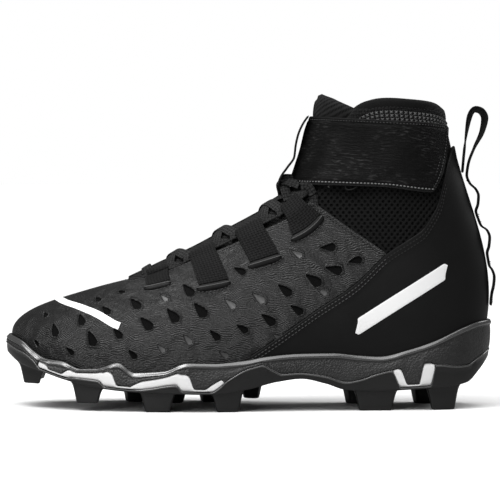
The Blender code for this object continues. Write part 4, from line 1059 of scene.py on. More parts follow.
# Cuts perforations into a grid skin: the cells round each one are replaced by a fitted mesh with
# a raised lip, a wall and a floor.
def punchedSkin(name, grid, materials, spots):
    outer, inner, flow, u, v = grid
    rows, columns = outer.shape[:2]
    half = rows * columns
    places = np.stack([np.where(u > wholeRound / 2, u - wholeRound, u).ravel(), v.ravel()], -1)
    flow = flow.reshape(-1, 3)
    points, flows = [outer.reshape(-1, 3), inner.reshape(-1, 3)], [flow, flow]
    quads = gridFaces(rows, columns)
    keep = np.ones(len(quads), bool)
    extra, extraSlots = [], []
    total = half * 2
    for side, share, atV, size, fall in spots:
        facet = size < 0
        size = abs(size)
        here = np.array([float(wayOf(side, share)), atV])
        du = (lastPoint(here[0] + 0.3, atV) - lastPoint(here[0] - 0.3, atV)) / 0.6
        dv = (lastPoint(here[0], atV + 0.003) - lastPoint(here[0], atV - 0.003)) / 0.006
        heelward = du * (-side) / np.linalg.norm(du)  # du runs to the heel on the lateral side
        upward = np.cross(lastNormal(here[0], atV), heelward) * (-side)
        if upward[2] < 0:
            upward = -upward
        angle = -math.radians(fall)
        axisA = heelward * math.cos(angle) + upward * math.sin(angle)
        axisB = -heelward * math.sin(angle) + upward * math.cos(angle)
        toLocal = np.array([[axisA @ du, axisA @ dv], [axisB @ du, axisB @ dv]])
        shape = roundedShape(dropShape, size)
        local = (places - here) @ toLocal.T
        near = np.flatnonzero(np.abs(local).max(axis=1) < size + 4)
        cutting = np.zeros(half, bool)
        cutting[near] = insideShape(offsetShape(shape, 1.3), local[near])
        hit = cutting[quads].any(axis=1) & keep
        if hit.sum() < 3:
            continue
        # the border of the cut cells, as one chain of points
        forward = dict.fromkeys(
            (int(a), int(b)) for cell in quads[hit] for a, b in zip(cell, np.roll(cell, -1))
        )
        loop = {a: b for a, b in forward if (b, a) not in forward}
        start = next(iter(loop))
        chain = [start]
        while loop[chain[-1]] != start and len(chain) <= len(loop):
            chain.append(loop[chain[-1]])
        if len(chain) != len(loop):
            continue
        keep &= ~hit
        rings = facetRings if facet else pitRings
        shapes = [offsetShape(shape, out) for out, _ in rings]
        n, m = len(shape), len(chain)
        flat = [Vector(local[i]) for i in chain] + [Vector(p) for p in shapes[0]]
        bounds = [(i, (i + 1) % m) for i in range(m)] + [(m + i, m + (i + 1) % n) for i in range(n)]
        made = delaunay_2d_cdt(flat, bounds, [], 1, 1e-5)
        source = [found[0] if found else -1 for found in made[3]]
        middles = np.array([np.mean([made[0][i][:] for i in tri], axis=0) for tri in made[2]])
        for tri, inHub in zip(made[2], insideShape(shapes[0] * 0.999, middles)):
            corner = [source[i] for i in tri]
            if not inHub and min(corner) >= 0:
                extra.append([chain[i] if i < m else total + i - m for i in corner])
                extraSlots.append(0)
        shapes = np.concatenate(shapes)
        place = here + shapes @ np.linalg.inv(toLocal).T
        points.append(skinPoint(place[:, 0], place[:, 1], np.repeat([deep for _, deep in rings], n)))
        centreFlow = flow[near[np.argmin(np.linalg.norm(local[near], axis=1))]]
        across = shapes @ (math.cos(angle), -math.sin(angle)) * -side
        flows.append(
            centreFlow + np.stack([across, shapes @ (math.sin(angle), math.cos(angle)), 0 * across], -1)
        )
        last = len(rings) - 1
        for k in range(last):
            low, high = total + k * n, total + (k + 1) * n
            extra += [[low + i, low + (i + 1) % n, high + (i + 1) % n, high + i] for i in range(n)]
            # the pit's lowest wall band and its floor take the pit finish, painted dark as shade
            extraSlots += [0 if facet or k < last - 1 else 1] * n
        extra.append([total + last * n + i for i in range(n)])
        extraSlots.append(2 if facet else 1)
        total += len(rings) * n
    faces = np.concatenate(
        [quads[keep], gridFaces(rows, columns, half, False, True), borderFaces(rows, columns, half)]
    )
    slots = [0] * len(faces) + extraSlots
    points, flows = np.concatenate(points), np.concatenate(flows)
    return addMesh(name, points, faces.tolist() + extra, materials, flows, slots, angle=50)


def seamLow(u):
    edge = quarterEdge(u)
    return np.where(edge > 0, np.maximum(edge + 0.003, vamp["foot"]), vamp["foot"])


def vampReach(side):
    shares = np.linspace(0.0, 0.97, 500)
    u = station(side, shares)
    wide = vampEdge(u) - seamLow(u) > 0.012
    return shares[np.argmin(wide)] if not wide.all() else shares[-1]


def makeVamp():
    ways = np.linspace(float(wayOf(1, vampReach(1))), float(wayOf(-1, vampReach(-1))), vamp["columns"])
    us = np.mod(ways, wholeRound)

    def relief(u, fromLow, fromHigh, plain):
        x, z = plain[..., 0], plain[..., 2]
        atSeam = np.clip(quarterEdge(u[0]) / 0.05, 0, 1)[None, :] * np.clip(1 - fromLow / 5.0, 0, 1)
        return 0.30 * atSeam + 0.16 * np.sin(x * 0.11 + z * 0.05) * np.sin(z * 0.13 - x * 0.04)

    grid = skinGrid(us, seamLow(us), vampEdge(us), vamp["rows"], relief, 0.9)
    spots = [(side, *spot) for side in (-1, 1) for spot in perforations]
    piece = punchedSkin("vampSkin", grid, [finish["vamp"], finish["pit"], finish["facet"]], spots)
    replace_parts(piece, "vamp")


makeVamp()
print("vamp made with", 2 * len(perforations), "perforations")

# Quarter: the smooth skin of the heel, laid over the vamp's edge at the seam

quarter = {"foot": 0.015, "rows": 56, "columns": 300, "overlap": 0.004, "edgeRise": 0.42}


def quarterStart(side):
    shares = np.linspace(0.3, 1.0, 500)
    edge = quarterEdge(station(side, shares))
    return float(station(side, shares[np.argmax(edge > quarter["foot"] + 0.03)]))


# the low waves of the worn skin, which the print follows
def skinWaves(x, z):
    return 0.10 * np.sin(x * 0.07 + z * 0.06)


def makeQuarter():
    us = np.linspace(quarterStart(-1), quarterStart(1), quarter["columns"])
    high = quarterEdge(us) + quarter["overlap"]

    def relief(u, fromLow, fromHigh, plain):
        rise = quarter["edgeRise"] * np.clip(1 - fromHigh / 7.0, 0, 1) ** 0.7
        return skinWaves(plain[..., 0], plain[..., 2]) - rise

    outer, inner, flow, _, _ = skinGrid(
        us, np.full(len(us), quarter["foot"]), high, quarter["rows"], relief, 0.7
    )
    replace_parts(thickGrid("quarterSkin", outer, inner, [finish["quarter"]], flow), "quarter")


makeQuarter()
print("quarter made")

# Printed shapes: a plain bar on each side of the heel and a plain band over the toe

heelBar = {
    "start": (213.0, 50.0), "end": (267.0, 84.0), "width": 8.6, "rise": 0.16, "corner": 2.0, "slant": 0.55
}
toeBand = {
    "width": 4.6,
    "rise": 0.18,
    "path": (
        (0.262, 0.385), (0.2097, 0.5066), (0.1685, 0.5767), (0.1187, 0.6276), (0.0526, 0.6642), (0.0, 0.682)
    ),
}


def makeHeelBars():
    (x0, z0), (x1, z1) = heelBar["start"], heelBar["end"]
    width, rise, corner = heelBar["width"], heelBar["rise"], heelBar["corner"]
    long = math.hypot(x1 - x0, z1 - z0)
    dx, dz = (x1 - x0) / long, (z1 - z0) / long
    along, across = np.meshgrid(np.linspace(0, long, 70), np.linspace(-0.5, 0.5, 12), indexing="xy")
    near = np.clip(np.minimum(along, long - along) / corner, 0, 1)
    tall = width - 2 * corner * (1 - quarterRound(near))
    lean = across * width * heelBar["slant"]  # both ends are cut on the slant
    x = (x0 + dx * (along + lean) - dz * across * tall).ravel()
    z = (z0 + dz * (along + lean) + dx * across * tall).ravel()
    fromEdge = np.minimum((0.5 - np.abs(across)) * tall, np.minimum(along, long - along))
    edge = np.clip(fromEdge / 0.4, 0, 1).ravel()
    flow = np.stack([along, across * tall, 0 * along], -1)
    for side, name in ((-1, "heelBarOuter"), (1, "heelBarInner")):
        share, v = findOnSide(side, x, z)
        u = station(side, share)
        outer = skinPoint(u, v, skinWaves(x, z) - rise * (0.3 + 0.7 * edge)).reshape(flow.shape)
        inner = skinPoint(u, v, 0.35 + 0 * v).reshape(flow.shape)
        thickGrid(name, outer, inner, [finish["print"]], flow)


def makeToeBand():
    shares, heights = np.array(toeBand["path"]).T
    ways = np.concatenate([wayOf(1, shares), wayOf(-1, shares[::-1][1:])])
    vs = np.concatenate([heights, heights[::-1][1:]])
    order = np.argsort(ways)
    dense = np.linspace(ways.min(), ways.max(), 150)
    middle = curveThrough(list(zip(ways[order], vs[order])))(dense)
    middle = np.convolve(np.pad(middle, 6, mode="edge"), np.ones(13) / 13, "valid")
    centre = lastPoint(dense, middle)
    across = np.cross(lastNormal(dense, middle), unit(np.gradient(centre, axis=0)))
    steps = pathLengths(centre)
    du = (lastPoint(dense + 0.3, middle) - lastPoint(dense - 0.3, middle)) / 0.6
    dv = (lastPoint(dense, middle + 0.003) - lastPoint(dense, middle - 0.003)) / 0.006
    frames = np.stack([du, dv], 1)
    outer, inner, flow = [], [], []
    for b in np.linspace(-0.5, 0.5, 11) * toeBand["width"]:
        # how far to go round and up the skin for a step of b across the band
        wanted = np.sum(frames * (across * b)[:, None], 2)
        shift = np.linalg.solve(frames @ frames.transpose(0, 2, 1), wanted[..., None])[..., 0]
        u, v = dense + shift[:, 0], middle + shift[:, 1]
        fromEdge = np.minimum(toeBand["width"] / 2 - abs(b), np.minimum(steps, steps[-1] - steps))
        edge = np.clip(fromEdge / 0.5, 0, 1)
        outer.append(skinPoint(u, v, -toeBand["rise"] * (0.2 + 0.8 * edge) - 0.16))
        inner.append(skinPoint(u, v, 0.4 + 0 * edge))
        flow.append(np.stack([steps, b + 0 * steps, 0 * steps], -1))
    thickGrid("toeBand", outer, inner, [finish["print"]], np.array(flow))


makeHeelBars()
makeToeBand()
print("printed shapes made")

# Bootie: the padded knit inside the skins, seen at the ankle, the collar and inside

bootie = {"columns": 240, "rows": 64, "smoothFrom": 181.5, "bandFrom": 172.0}


def makeBootie():
    us = np.linspace(0, wholeRound, bootie["columns"], endpoint=False)
    u = np.broadcast_to(us[None, :], (bootie["rows"], len(us)))
    v = np.broadcast_to(easedShares(bootie["rows"], 0.55)[:, None], u.shape)
    plain = lastPoint(u, v)
    flow = gridFlow(plain)
    fromTop = flow[..., 1].max(axis=0)[None, :] - flow[..., 1]
    wall = shoe["upperWall"] + collarPadding(u, v)
    drop = wall * 0.42 * (1 - quarterRound(np.clip(fromTop / (wall * 0.55), 0, 1)))
    # the collar swells a little over its stitched lines
    lines = np.exp(-(((fromTop - 4.2) / 2.2) ** 2)) - np.exp(-(((fromTop - 8.2) / 0.8) ** 2))
    swell = 0.35 * nearHeel(us)[None, :] * lines
    normals = lastNormal(u, v)
    outer = plain - normals * (bootDepth + drop - swell)[..., None]
    inner = plain - normals * (bootDepth + wall - drop)[..., None]
    cloths = [finish["bootie"], finish["collarSmooth"], finish["collarKnit"]]
    piece = thickGrid("bootieKnit", outer, inner, cloths, flow, closed=True, angle=70)
    mesh = piece.data
    centres = np.zeros(len(mesh.polygons) * 3)
    mesh.polygons.foreach_get("center", centres)
    x, _, z = centres.reshape(-1, 3).T * 1000
    behind = x + centreX > 0.6 * length
    slots = np.zeros(len(x), np.int32)
    slots[(z > bootie["bandFrom"]) & behind] = 2
    slots[(z > bootie["smoothFrom"]) & behind] = 1
    mesh.polygons.foreach_set("material_index", slots)
    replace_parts(piece, "upper")


makeBootie()

# Ankle mesh: a padded panel with a staggered grid of openings, under the strap

ankleMesh = {
    "across": 3.6, "up": 4.4, "depth": 0.75, "open": 0.25, "top": 0.87, "rise": 0.9,
    "columns": 232, "rows": 158,
}


def makeAnkleMesh():
    f = ankleMesh
    for side, name in ((-1, "ankleMeshOuter"), (1, "ankleMeshInner")):
        us = station(side, np.linspace(0.585, 0.955, f["columns"]))
        cover = np.maximum(np.where(vampEdge(us) - seamLow(us) > 0.012, vampEdge(us), 0), quarterEdge(us))
        high = np.minimum(vAtHeight(us, f["top"] * shoe["collarHeight"]), 0.985)
        shown = cover < high - 0.01
        us, high = us[shown], high[shown]
        low = np.minimum(cover[shown] - 0.03, high - 0.02)
        u = np.broadcast_to(us[None, :], (f["rows"], len(us)))
        v = low[None, :] + (high - low)[None, :] * np.linspace(0, 1, f["rows"])[:, None]
        plain = lastPoint(u, v)
        x, z = plain[..., 0], plain[..., 2]
        wave = np.cos(2 * np.pi * x / f["across"]) * np.cos(2 * np.pi * z / f["up"])
        hole = smoothStep(ramp(wave, f["open"], 0.25))
        climb = gridFlow(plain)[..., 1]
        edge = np.clip(np.minimum(climb, climb.max(axis=0)[None, :] - climb) / 2.0, 0, 1)
        normals = lastNormal(u, v)
        outer = plain - normals * (bootDepth - f["rise"] * edge + hole * f["depth"] * edge)[..., None]
        inner = plain - normals * (bootDepth + 0.3)
        thickGrid(name, outer, inner, [finish["mesh"]], np.stack([x, z, 0 * x], -1), angle=180)


makeAnkleMesh()
print("bootie and ankle mesh made")

# Tongue

tongue = {
    "wall": 3.2, "tuck": 0.92, "columns": 56, "rows": 150, "crestWidth": 3.4, "crestHeight": 1.1,
    "leanFrom": 174.0, "lean": 0.42, "sink": 0.17,
}


# over the collar the tongue's top leans forward
def leanForward(points):
    over = np.maximum(points[..., 2] - tongue["leanFrom"], 0.0)
    return points + np.stack([-over * tongue["lean"], 0 * over, -over * tongue["sink"]], -1)


def makeTongue():
    top = float(rimShare(-1, tongueEnd))
    shares = np.linspace(0.03, top, tongue["rows"])
    depth = bootDepth + shoe["upperWall"] + shoe["gap"]
    sides = []
    for side in (-1, 1):
        u = station(side, shares)
        sides.append(skinPoint(u, tongue["tuck"], depth + thickestPadding(u))[:, None])
    share, across = np.meshgrid(shares, np.linspace(-1, 1, tongue["columns"]), indexing="ij")
    body = tonguePoint(share, across)
    # the padding swells between faint cross channels
    channels = 0.30 * np.sin(gridFlow(body)[..., 1] * 0.42) ** 2 - 0.15
    body = body + gridNormals(body, -1) * (np.exp(-((across / 0.62) ** 4)) * channels)[..., None]
    grid = leanForward(np.concatenate([sides[0], body, sides[1]], axis=1))
    piece = softSheet("tonguePad", grid, tongue["wall"], -1, [finish["tongue"], finish["collarSmooth"]])
    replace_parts(piece, "tongue")
    crestShares = np.linspace(0.045, top * 0.985, 160)
    path = tonguePoint(crestShares, 0.06, 0.1)
    normals = tonguePoint(crestShares, 0.06, 1.1) - path
    width, height = tongue["crestWidth"], tongue["crestHeight"]
    softTube("tongueCrest", leanForward(path), normals, width, height, [finish["collarSmooth"]], sides=10)


makeTongue()
print("tongue made")

# Lace loops: webbing from a slit in the vamp up over the eyestay's edge and round the lace

laceLoops = (  # share of the throat front and rear at the rim, front and rear at the slit, slit v
    (0.295, 0.339, 0.296, 0.343, 0.800), (0.384, 0.436, 0.402, 0.462, 0.680),
    (0.482, 0.536, 0.506, 0.565, 0.760), (0.580, 0.622, 0.592, 0.650, 0.850),
)
loopFold = ((1.3, 0.98), (3.1, 0.92), (4.6, 0.72), (5.0, 0.45), (4.5, 0.19), (3.0, 0.06), (1.2, 0.04))
webWall = shoe["webWall"]
loopStand = bootDepth + shoe["upperWall"] + shoe["gap"] + shoe["gap"] + webWall
welt = {"width": 4.6, "height": 2.4, "ridge": 0.7, "past": 1.6, "drop": 2.2, "stitchDrop": 3.4}


def loopEnds(side, loop):
    front, rear, slitFront, slitRear, slitV = loop
    rim = [float(station(side, rimShare(side, along))) for along in (front, rear)]
    shares = np.linspace(0.0, 1.0, 2001)
    xs = lastPoint(station(side, shares), slitV)[:, 0] / length
    slit = [float(station(side, np.interp(along, xs, shares))) for along in (slitFront, slitRear)]
    return rim, slit


def makeLoops():
    stitchPaths, weltStitches = [], []
    width = np.linspace(0, 1, 22)
    for side in (-1, 1):
        place = "outer" if side < 0 else "inner"
        for number, loop in enumerate(laceLoops):
            rim, slit = loopEnds(side, loop)
            slitV = loop[4]
            rough = []
            for climb in np.linspace(0, 1, 12):
                ends = [slit[k] + (rim[k] - slit[k]) * climb for k in (0, 1)]
                us = ends[0] + (ends[1] - ends[0]) * width
                rough.append(
                    skinPoint(us, slitV + (1 - slitV) * climb, -shoe["gap"] - webWall * 0.6 + 0 * us)
                )
            shares = [float(rimShare(side, along)) for along in loop[:2]]
            for inset, standing in loopFold:
                height = shoe["gap"] + 0.1 + (loopStand - shoe["gap"]) * standing
                rough.append(pastRim(shares[0] + (shares[1] - shares[0]) * width, side, inset, height))
            grid = smoothColumns(np.array(rough), 46)
            name = "laceLoop%s%d" % (place.capitalize(), number + 1)
            piece = softSheet(name, grid, webWall, -side, [finish["web"]], angle=70)
            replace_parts(piece, "lace_loop_%s_%d" % (place, number + 1))
            # the welt that the slit is bound with
            ends = np.array(slit) + np.array([-1, 1]) * welt["past"] * -side
            us = np.linspace(ends[0], ends[1], 26)
            drop = welt["drop"] / meridianScale(us, slitV)
            path = skinPoint(us, slitV - drop, -0.25 + 0 * us)
            normals = lastNormal(us, slitV - drop)
            high, ridge = welt["height"], welt["ridge"]
            softTube(
                name + "Welt", path, normals, welt["width"], high, [finish["quarter"]], sides=14, ends=0.9
            )
            top = skinPoint(us, slitV - drop * 0.9, -0.15 - high / 2 + 0 * us)
            softTube(name + "Ridge", top, normals, ridge, ridge * 1.2, [finish["facet"]], sides=8, ends=2.0)
            # stitches round the welt
            turn = np.linspace(0, np.pi, 30)
            middle, half = (ends[0] + ends[1]) / 2, abs(ends[1] - ends[0]) / 2 + 1.2
            u = middle + np.cos(turn) * half
            scale = meridianScale(np.full(30, middle), slitV)
            v = slitV - drop.mean() - np.sin(turn) * welt["stitchDrop"] / scale
            weltStitches.append((skinPoint(u, v, -0.12 + 0 * u), lastNormal(u, v)))
            normal = gridNormals(grid, -side)[2:26]
            for inset in (0.12, 0.88):
                col = int(inset * (grid.shape[1] - 1))
                stitchPaths.append((grid[2:26, col] + normal[:, col] * (webWall + 0.02), normal[:, col]))
    addStitches("loopStitches", stitchPaths, finish["threadDark"], pitch=1.9, width=0.5, height=0.35)
    addStitches("weltStitches", weltStitches, finish["thread"], pitch=2.2, width=0.62, height=0.5)


makeLoops()
print("lace loops made")

# Laces: flat woven bands that cross over the tongue and run through the loops

laces = {"width": 6.5, "wall": 1.3, "folded": 2.4, "inset": 1.8, "dip": 0.072}
laceUp = loopStand * 0.53


# a band with rounded sides, its cross-section turned as across says
def flatBand(name, path, widths, wall, across, material):
    path = np.asarray(path, float)
    tangent = unit(np.gradient(path, axis=0))
    across = np.broadcast_to(np.asarray(across, float), path.shape)
    across = unit(across - tangent * np.sum(across * tangent, axis=1, keepdims=True))
    up = np.cross(tangent, across)
    angles = np.linspace(0, 2 * np.pi, 20, endpoint=False)
    squareX = np.sign(np.cos(angles)) * np.abs(np.cos(angles)) ** 0.35
    squareZ = np.sign(np.sin(angles)) * np.abs(np.sin(angles)) ** 0.9
    n, sides = len(path), len(angles)
    sideways = squareX[None] * np.broadcast_to(widths, (n,))[:, None] / 2
    upwards = (squareZ * wall / 2)[:, None]
    rings = path[:, None] + across[:, None] * sideways[..., None] + up[:, None] * upwards
    flow = np.stack([sideways, np.broadcast_to(pathLengths(path)[:, None], (n, sides)), 0 * sideways], -1)
    return addMesh(name, rings.reshape(-1, 3), tubeFaces(n, sides), [material], flow.reshape(-1, 3), angle=60)


# the lace's ends are knotted over the top bar, and one end is tucked away in a loop
knot = {"height": 130.5, "wall": 1.6, "width": 6.0}
tuckedLoop = ((179.6, 134.6), (183.0, 134.9), (186.0, 131.8), (187.6, 127.0), (187.4, 122.6))


def makeKnot():
    at = float(shareAtHeight(knot["height"], -0.4))
    runs = (
        (
            (-0.022, -0.74, 3.4), (-0.008, -0.50, 6.4), (0.010, -0.18, 6.6), (0.026, 0.14, 4.0),
            (0.034, 0.36, 3.0)
        ),
        (
            (0.030, -0.66, 3.2), (0.016, -0.44, 7.4), (-0.002, -0.20, 8.0), (-0.016, 0.08, 4.6),
            (-0.026, 0.30, 3.0)
        ),
        (
            (-0.024, -0.30, 4.0), (-0.012, -0.34, 8.6), (0.008, -0.36, 9.4), (0.024, -0.34, 7.4),
            (0.034, -0.30, 3.4)
        ),
    )
    made = []
    for run in runs:
        path = smoothPath([tonguePoint(at + share, across, height) for share, across, height in run], 40)
        made.append(flatBand("laceKnot", path, knot["width"], knot["wall"], (0.6, 0.5, 0.6), finish["lace"]))
    x, z = np.array(tuckedLoop).T
    share, v = findOnSide(-1, x, z)
    u = station(-1, share)
    rough = skinPoint(u, v, bootDepth - 1.5 + 0 * u)
    path = smoothPath(rough, 40)
    outWay = smoothPath(rough + lastNormal(u, v), 40) - path
    across = np.cross(np.gradient(path, axis=0), outWay)
    made.append(flatBand("laceTuck", path, 5.2, 1.3, across, finish["lace"]))
    return made


def makeLaces():
    ends, pieces = {}, []
    for side in (-1, 1):
        for number, loop in enumerate(laceLoops):
            shares = [float(rimShare(side, along)) for along in loop[:2]]
            front, rear = [pastRim(share, side, laces["inset"], laceUp) for share in shares]
            reach = rear - front
            path = smoothPath(
                [front - reach * 0.28, front, (front + rear) / 2, rear, rear + reach * 0.58], 16
            )
            ends[side, number] = ((shares[0], front - reach * 0.2), (shares[1], rear + reach * 0.5))
            pieces.append(
                flatBand("laceRod", path, laces["folded"], laces["wall"], (0, 1.0, 0.2), finish["lace"])
            )
    top = len(laceLoops) - 1
    runs = [((-1, 0, 0), (1, 0, 0), 0.0, 0.0), ((-1, top, 1), (1, top, 1), 0.0, laces["dip"])]
    for number in range(top):
        runs.append(((-1, number, 1), (1, number + 1, 0), 0.0, 0.0))
        runs.append(((1, number, 1), (-1, number + 1, 0), 1.0, 0.0))
    for start, end, over, dip in runs:
        shareA, pointA = ends[start[0], start[1]][start[2]]
        shareB, pointB = ends[end[0], end[1]][end[2]]
        w = np.linspace(0, 1, 13)[1:-1]
        middle = np.sin(np.pi * w)
        share = shareA + (shareB - shareA) * w - dip * middle**3
        lateral, medial, _, _ = throatFrame(share)
        inset = 1 - 2 * laces["inset"] / (medial[:, 1] - lateral[:, 1])
        low = 2 * shoe["gap"] + laces["wall"] / 2 + over * laces["wall"] * 0.75 + dip * 6
        height = laceUp + (low - laceUp) * middle**0.7
        body = tonguePoint(share, start[0] * inset * (1 - 2 * w), height)
        path = smoothPath(np.vstack([pointA, body, pointB]), 48)
        t = np.linspace(0, 1, 48)
        widths = laces["folded"] + (laces["width"] - laces["folded"]) * np.clip(np.sin(np.pi * t) * 3.2, 0, 1)
        pieces.append(flatBand("laceRun", path, widths, laces["wall"], (1.0, 0, 0.6), finish["lace"]))
    pieces += makeKnot()
    piece = joinPieces("laceBands", pieces)
    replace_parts(piece, "laces")


makeLaces()
print("laces made")

# Strap: a woven band round the ankle, with bound and stitched edges

strapRows = (
    (-0.360, 0.6990, 0.8900), (-0.320, 0.7010, 0.9180), (-0.220, 0.7180, 0.9300),
    (0.000, 0.7250, 0.9430), (0.220, 0.7180, 0.9300), (0.360, 0.7100, 0.9150),
)
strap = {"ends": (0.872, 0.902, 0.800), "columns": 240, "rows": 52, "keeperWidth": 15.0}
strapLow, strapHigh = curveThrough(strapRows, 1), curveThrough(strapRows, 2)
strapLevels = shoe["collarHeight"] * np.linspace(0.69, 0.95, 14)


# the strap's path at a height: the convex outline of ankle and tongue, softened
def hullAt(height):
    found = []
    shares = np.linspace(0.40, 1.0, 121)
    for side in (-1, 1):
        u = station(side, shares)
        u = u[lastPoint(u, 1.0)[:, 2] > height]
        found.append(skinPoint(u, vAtHeight(u, height), bootDepth)[:, :2])
    for across in np.linspace(-1, 1, 41):
        found.append(tonguePoint(shareAtHeight(height, across), across)[None, :2])
    points = sorted(set((round(float(x), 4), round(float(y), 4)) for x, y in np.concatenate(found)))

    def half(run):
        line = []
        for p in run:
            while len(line) > 1:
                a, b = line[-2], line[-1]
                if (b[0] - a[0]) * (p[1] - a[1]) - (b[1] - a[1]) * (p[0] - a[0]) > 0:
                    break
                line.pop()
            line.append(p)
        return line

    lower, upper = half(points), half(points[::-1])[::-1]
    line = np.array(lower[::-1] + upper[1:])
    steps = pathLengths(line)
    steps = steps - steps[int(np.argmin(line[:, 0]))]
    at = np.linspace(steps[0], steps[-1], 500)
    even = np.pad(atLengths(at, steps, line), ((12, 12), (0, 0)), mode="reflect", reflect_type="odd")
    kernel = np.hanning(25)
    kernel /= kernel.sum()
    return at, np.stack([np.convolve(even[:, k], kernel, "valid") for k in (0, 1)], -1)


strapPlans = [hullAt(height) for height in strapLevels]


# on the strap's path: reach from its front, height, and how far out it stands
def strapPoint(reach, height, stand):
    reach, height, stand = np.broadcast_arrays(
        *[np.asarray(value, float) for value in (reach, height, stand)]
    )
    found = []
    for at, line in strapPlans:
        along = unit(atLengths(reach + 3, at, line) - atLengths(reach - 3, at, line))
        out = np.stack([-along[..., 1], along[..., 0]], -1)
        found.append(atLengths(reach, at, line) + out * stand[..., None])
    found = np.array(found)
    at = np.clip(np.interp(height, strapLevels, np.arange(len(strapLevels))), 0, len(strapLevels) - 1.001)
    low = at.astype(int)
    share = (at - low)[..., None]
    below, above = [np.take_along_axis(found, (low + k)[None, ..., None], 0)[0] for k in (0, 1)]
    return np.concatenate([below * (1 - share) + above * share, height[..., None]], -1)


def reachOf(side, along, height):
    reach = np.linspace(0.0, 0.6 * length, 600)
    x = strapPoint(side * reach, height, 0.0)[:, 0]
    return side * float(np.interp(along * length, x, reach))


# reach and height at shares up and along the strap
def strapGrid(rows, columns):
    lowerEnd, upperEnd, innerEnd = strap["ends"]
    tall = shoe["collarHeight"]
    bottom, top = tall * float(strapLow(-0.36)), tall * float(strapHigh(-0.36))
    starts = reachOf(-1, lowerEnd, bottom), reachOf(-1, upperEnd, top)
    last = reachOf(1, innerEnd, (bottom + top) / 2)
    b = np.asarray(rows)[:, None]
    c = np.asarray(columns)[None, :]
    start = starts[0] + (starts[1] - starts[0]) * b
    reach = start + (last - start) * c
    low, high = tall * strapLow(reach / length), tall * strapHigh(reach / length)
    return reach, low + (high - low) * b


def makeStrap():
    wall, stand, tall = shoe["strapWall"], shoe["wrapGap"], shoe["collarHeight"]
    rows = easedShares(strap["rows"], 0.5)
    reach, height = strapGrid(rows, easedShares(strap["columns"], 0.35))
    grid = strapPoint(reach, height, stand)
    flow = gridFlow(grid)
    high = flow[..., 1].max(axis=0)[None, :]
    wide = np.ptp(flow[..., 0], axis=1)[:, None]
    fromEdge = np.minimum(np.minimum(flow[..., 1], high - flow[..., 1]), wide / 2 - np.abs(flow[..., 0]))
    # slack in the weave: long shallow ripples, and a sewn border that sits lower
    slack = 0.22 * np.sin(reach * 0.10 + 3.2 * np.sin(height * 0.09)) * np.sin(np.pi * rows[:, None])
    slack = (slack + 0.10 * np.sin(reach * 0.31 + height * 0.23)) * np.clip(fromEdge / 8, 0, 1)
    lift = slack - 0.45 * np.exp(-(((fromEdge - 2.6) / 0.7) ** 2))
    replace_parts(softSheet("ankleStrap", grid, wall, 1, [finish["strap"]], lift=lift), "ankle_strap")

    # a path over the strap's face, with the way out from it
    def over(rowShares, columnShares):
        spots = strapGrid(rowShares, columnShares)
        base = strapPoint(*spots, stand + wall - 0.28).reshape(-1, 3)
        return base, unit(strapPoint(*spots, stand + wall + 1.0).reshape(-1, 3) - base)

    whole, upwards = np.linspace(0.006, 0.994, 400), np.linspace(0.03, 0.97, 80)
    upper = [over([0.962], whole), over(upwards, [0.014]), over(upwards, [0.030])]
    addStitches("strapStitches", upper, finish["thread"], pitch=2.0, width=0.55, height=0.45)
    # painted highlight: the lower row is sewn in the light thread
    addStitches(
        "strapLowerStitches", [over([0.048], whole)], finish["threadHighlight"], pitch=2.2, width=0.8, height=0.6
    )
    # a fine cord is bound into the lower and upper edges
    for share, name in ((0.012, "strapHemLower"), (0.988, "strapHemUpper")):
        base, out = over([share], np.linspace(0.002, 0.998, 400))
        softTube(name, base - out * 0.75, out, 1.0, 1.9, [finish["strapEdge"]], sides=10)
    # a half-round tab that shows under the lower edge
    middle = reachOf(-1, 0.712, tall * 0.715)
    turn = np.linspace(0, np.pi, 18)
    heights = tall * float(strapLow(middle / length)) + 0.6 - np.sin(turn) * 3.0
    tab = strapPoint(middle + np.cos(turn) * 3.6, heights, stand + 0.9)
    out = unit(strapPoint(middle, 134.0, 5.0) - strapPoint(middle, 134.0, 0.0))
    softTube("strapTab", tab, np.tile(out, (len(turn), 1)), 1.0, 1.3, [finish["strapEdge"]], sides=8)


makeStrap()
print("strap made")

keeperRows = (
    (0.724, 3.6), (0.746, 4.4), (0.778, 2.6), (0.812, 0.3),
    (0.850, 1.3), (0.885, 1.6), (0.918, 0.8), (0.946, -0.8),
)
keeperFoot = (0.700, 0.714)


def makeKeeper():
    across = np.linspace(-1, 1, 15)
    rough = []
    for share in keeperFoot:
        at = float(shareAtHeight(shoe["collarHeight"] * share, 0.0))
        lateral, medial, _, _ = throatFrame(at)
        half = strap["keeperWidth"] / (medial[1] - lateral[1])
        rough.append(tonguePoint(at, across * half, 2 * shoe["gap"]))
    for share, stand in keeperRows:
        out = shoe["wrapGap"] + shoe["strapWall"] + 3 * shoe["gap"] + stand
        row = strapPoint(across * strap["keeperWidth"] / 2, shoe["collarHeight"] * share, out)
        row[:, 0] = row[:, 0].min()  # pulled flat, clear of the strap
        rough.append(row)
    grid = smoothColumns(np.array(rough), 60)
    piece = softSheet("strapKeeper", grid, webWall, 1, [finish["ribbon"]], angle=70)
    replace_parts(piece, "strap_keeper")


makeKeeper()

# Heel ribbon: tacked down the heel in waves, with a free pull loop at its top

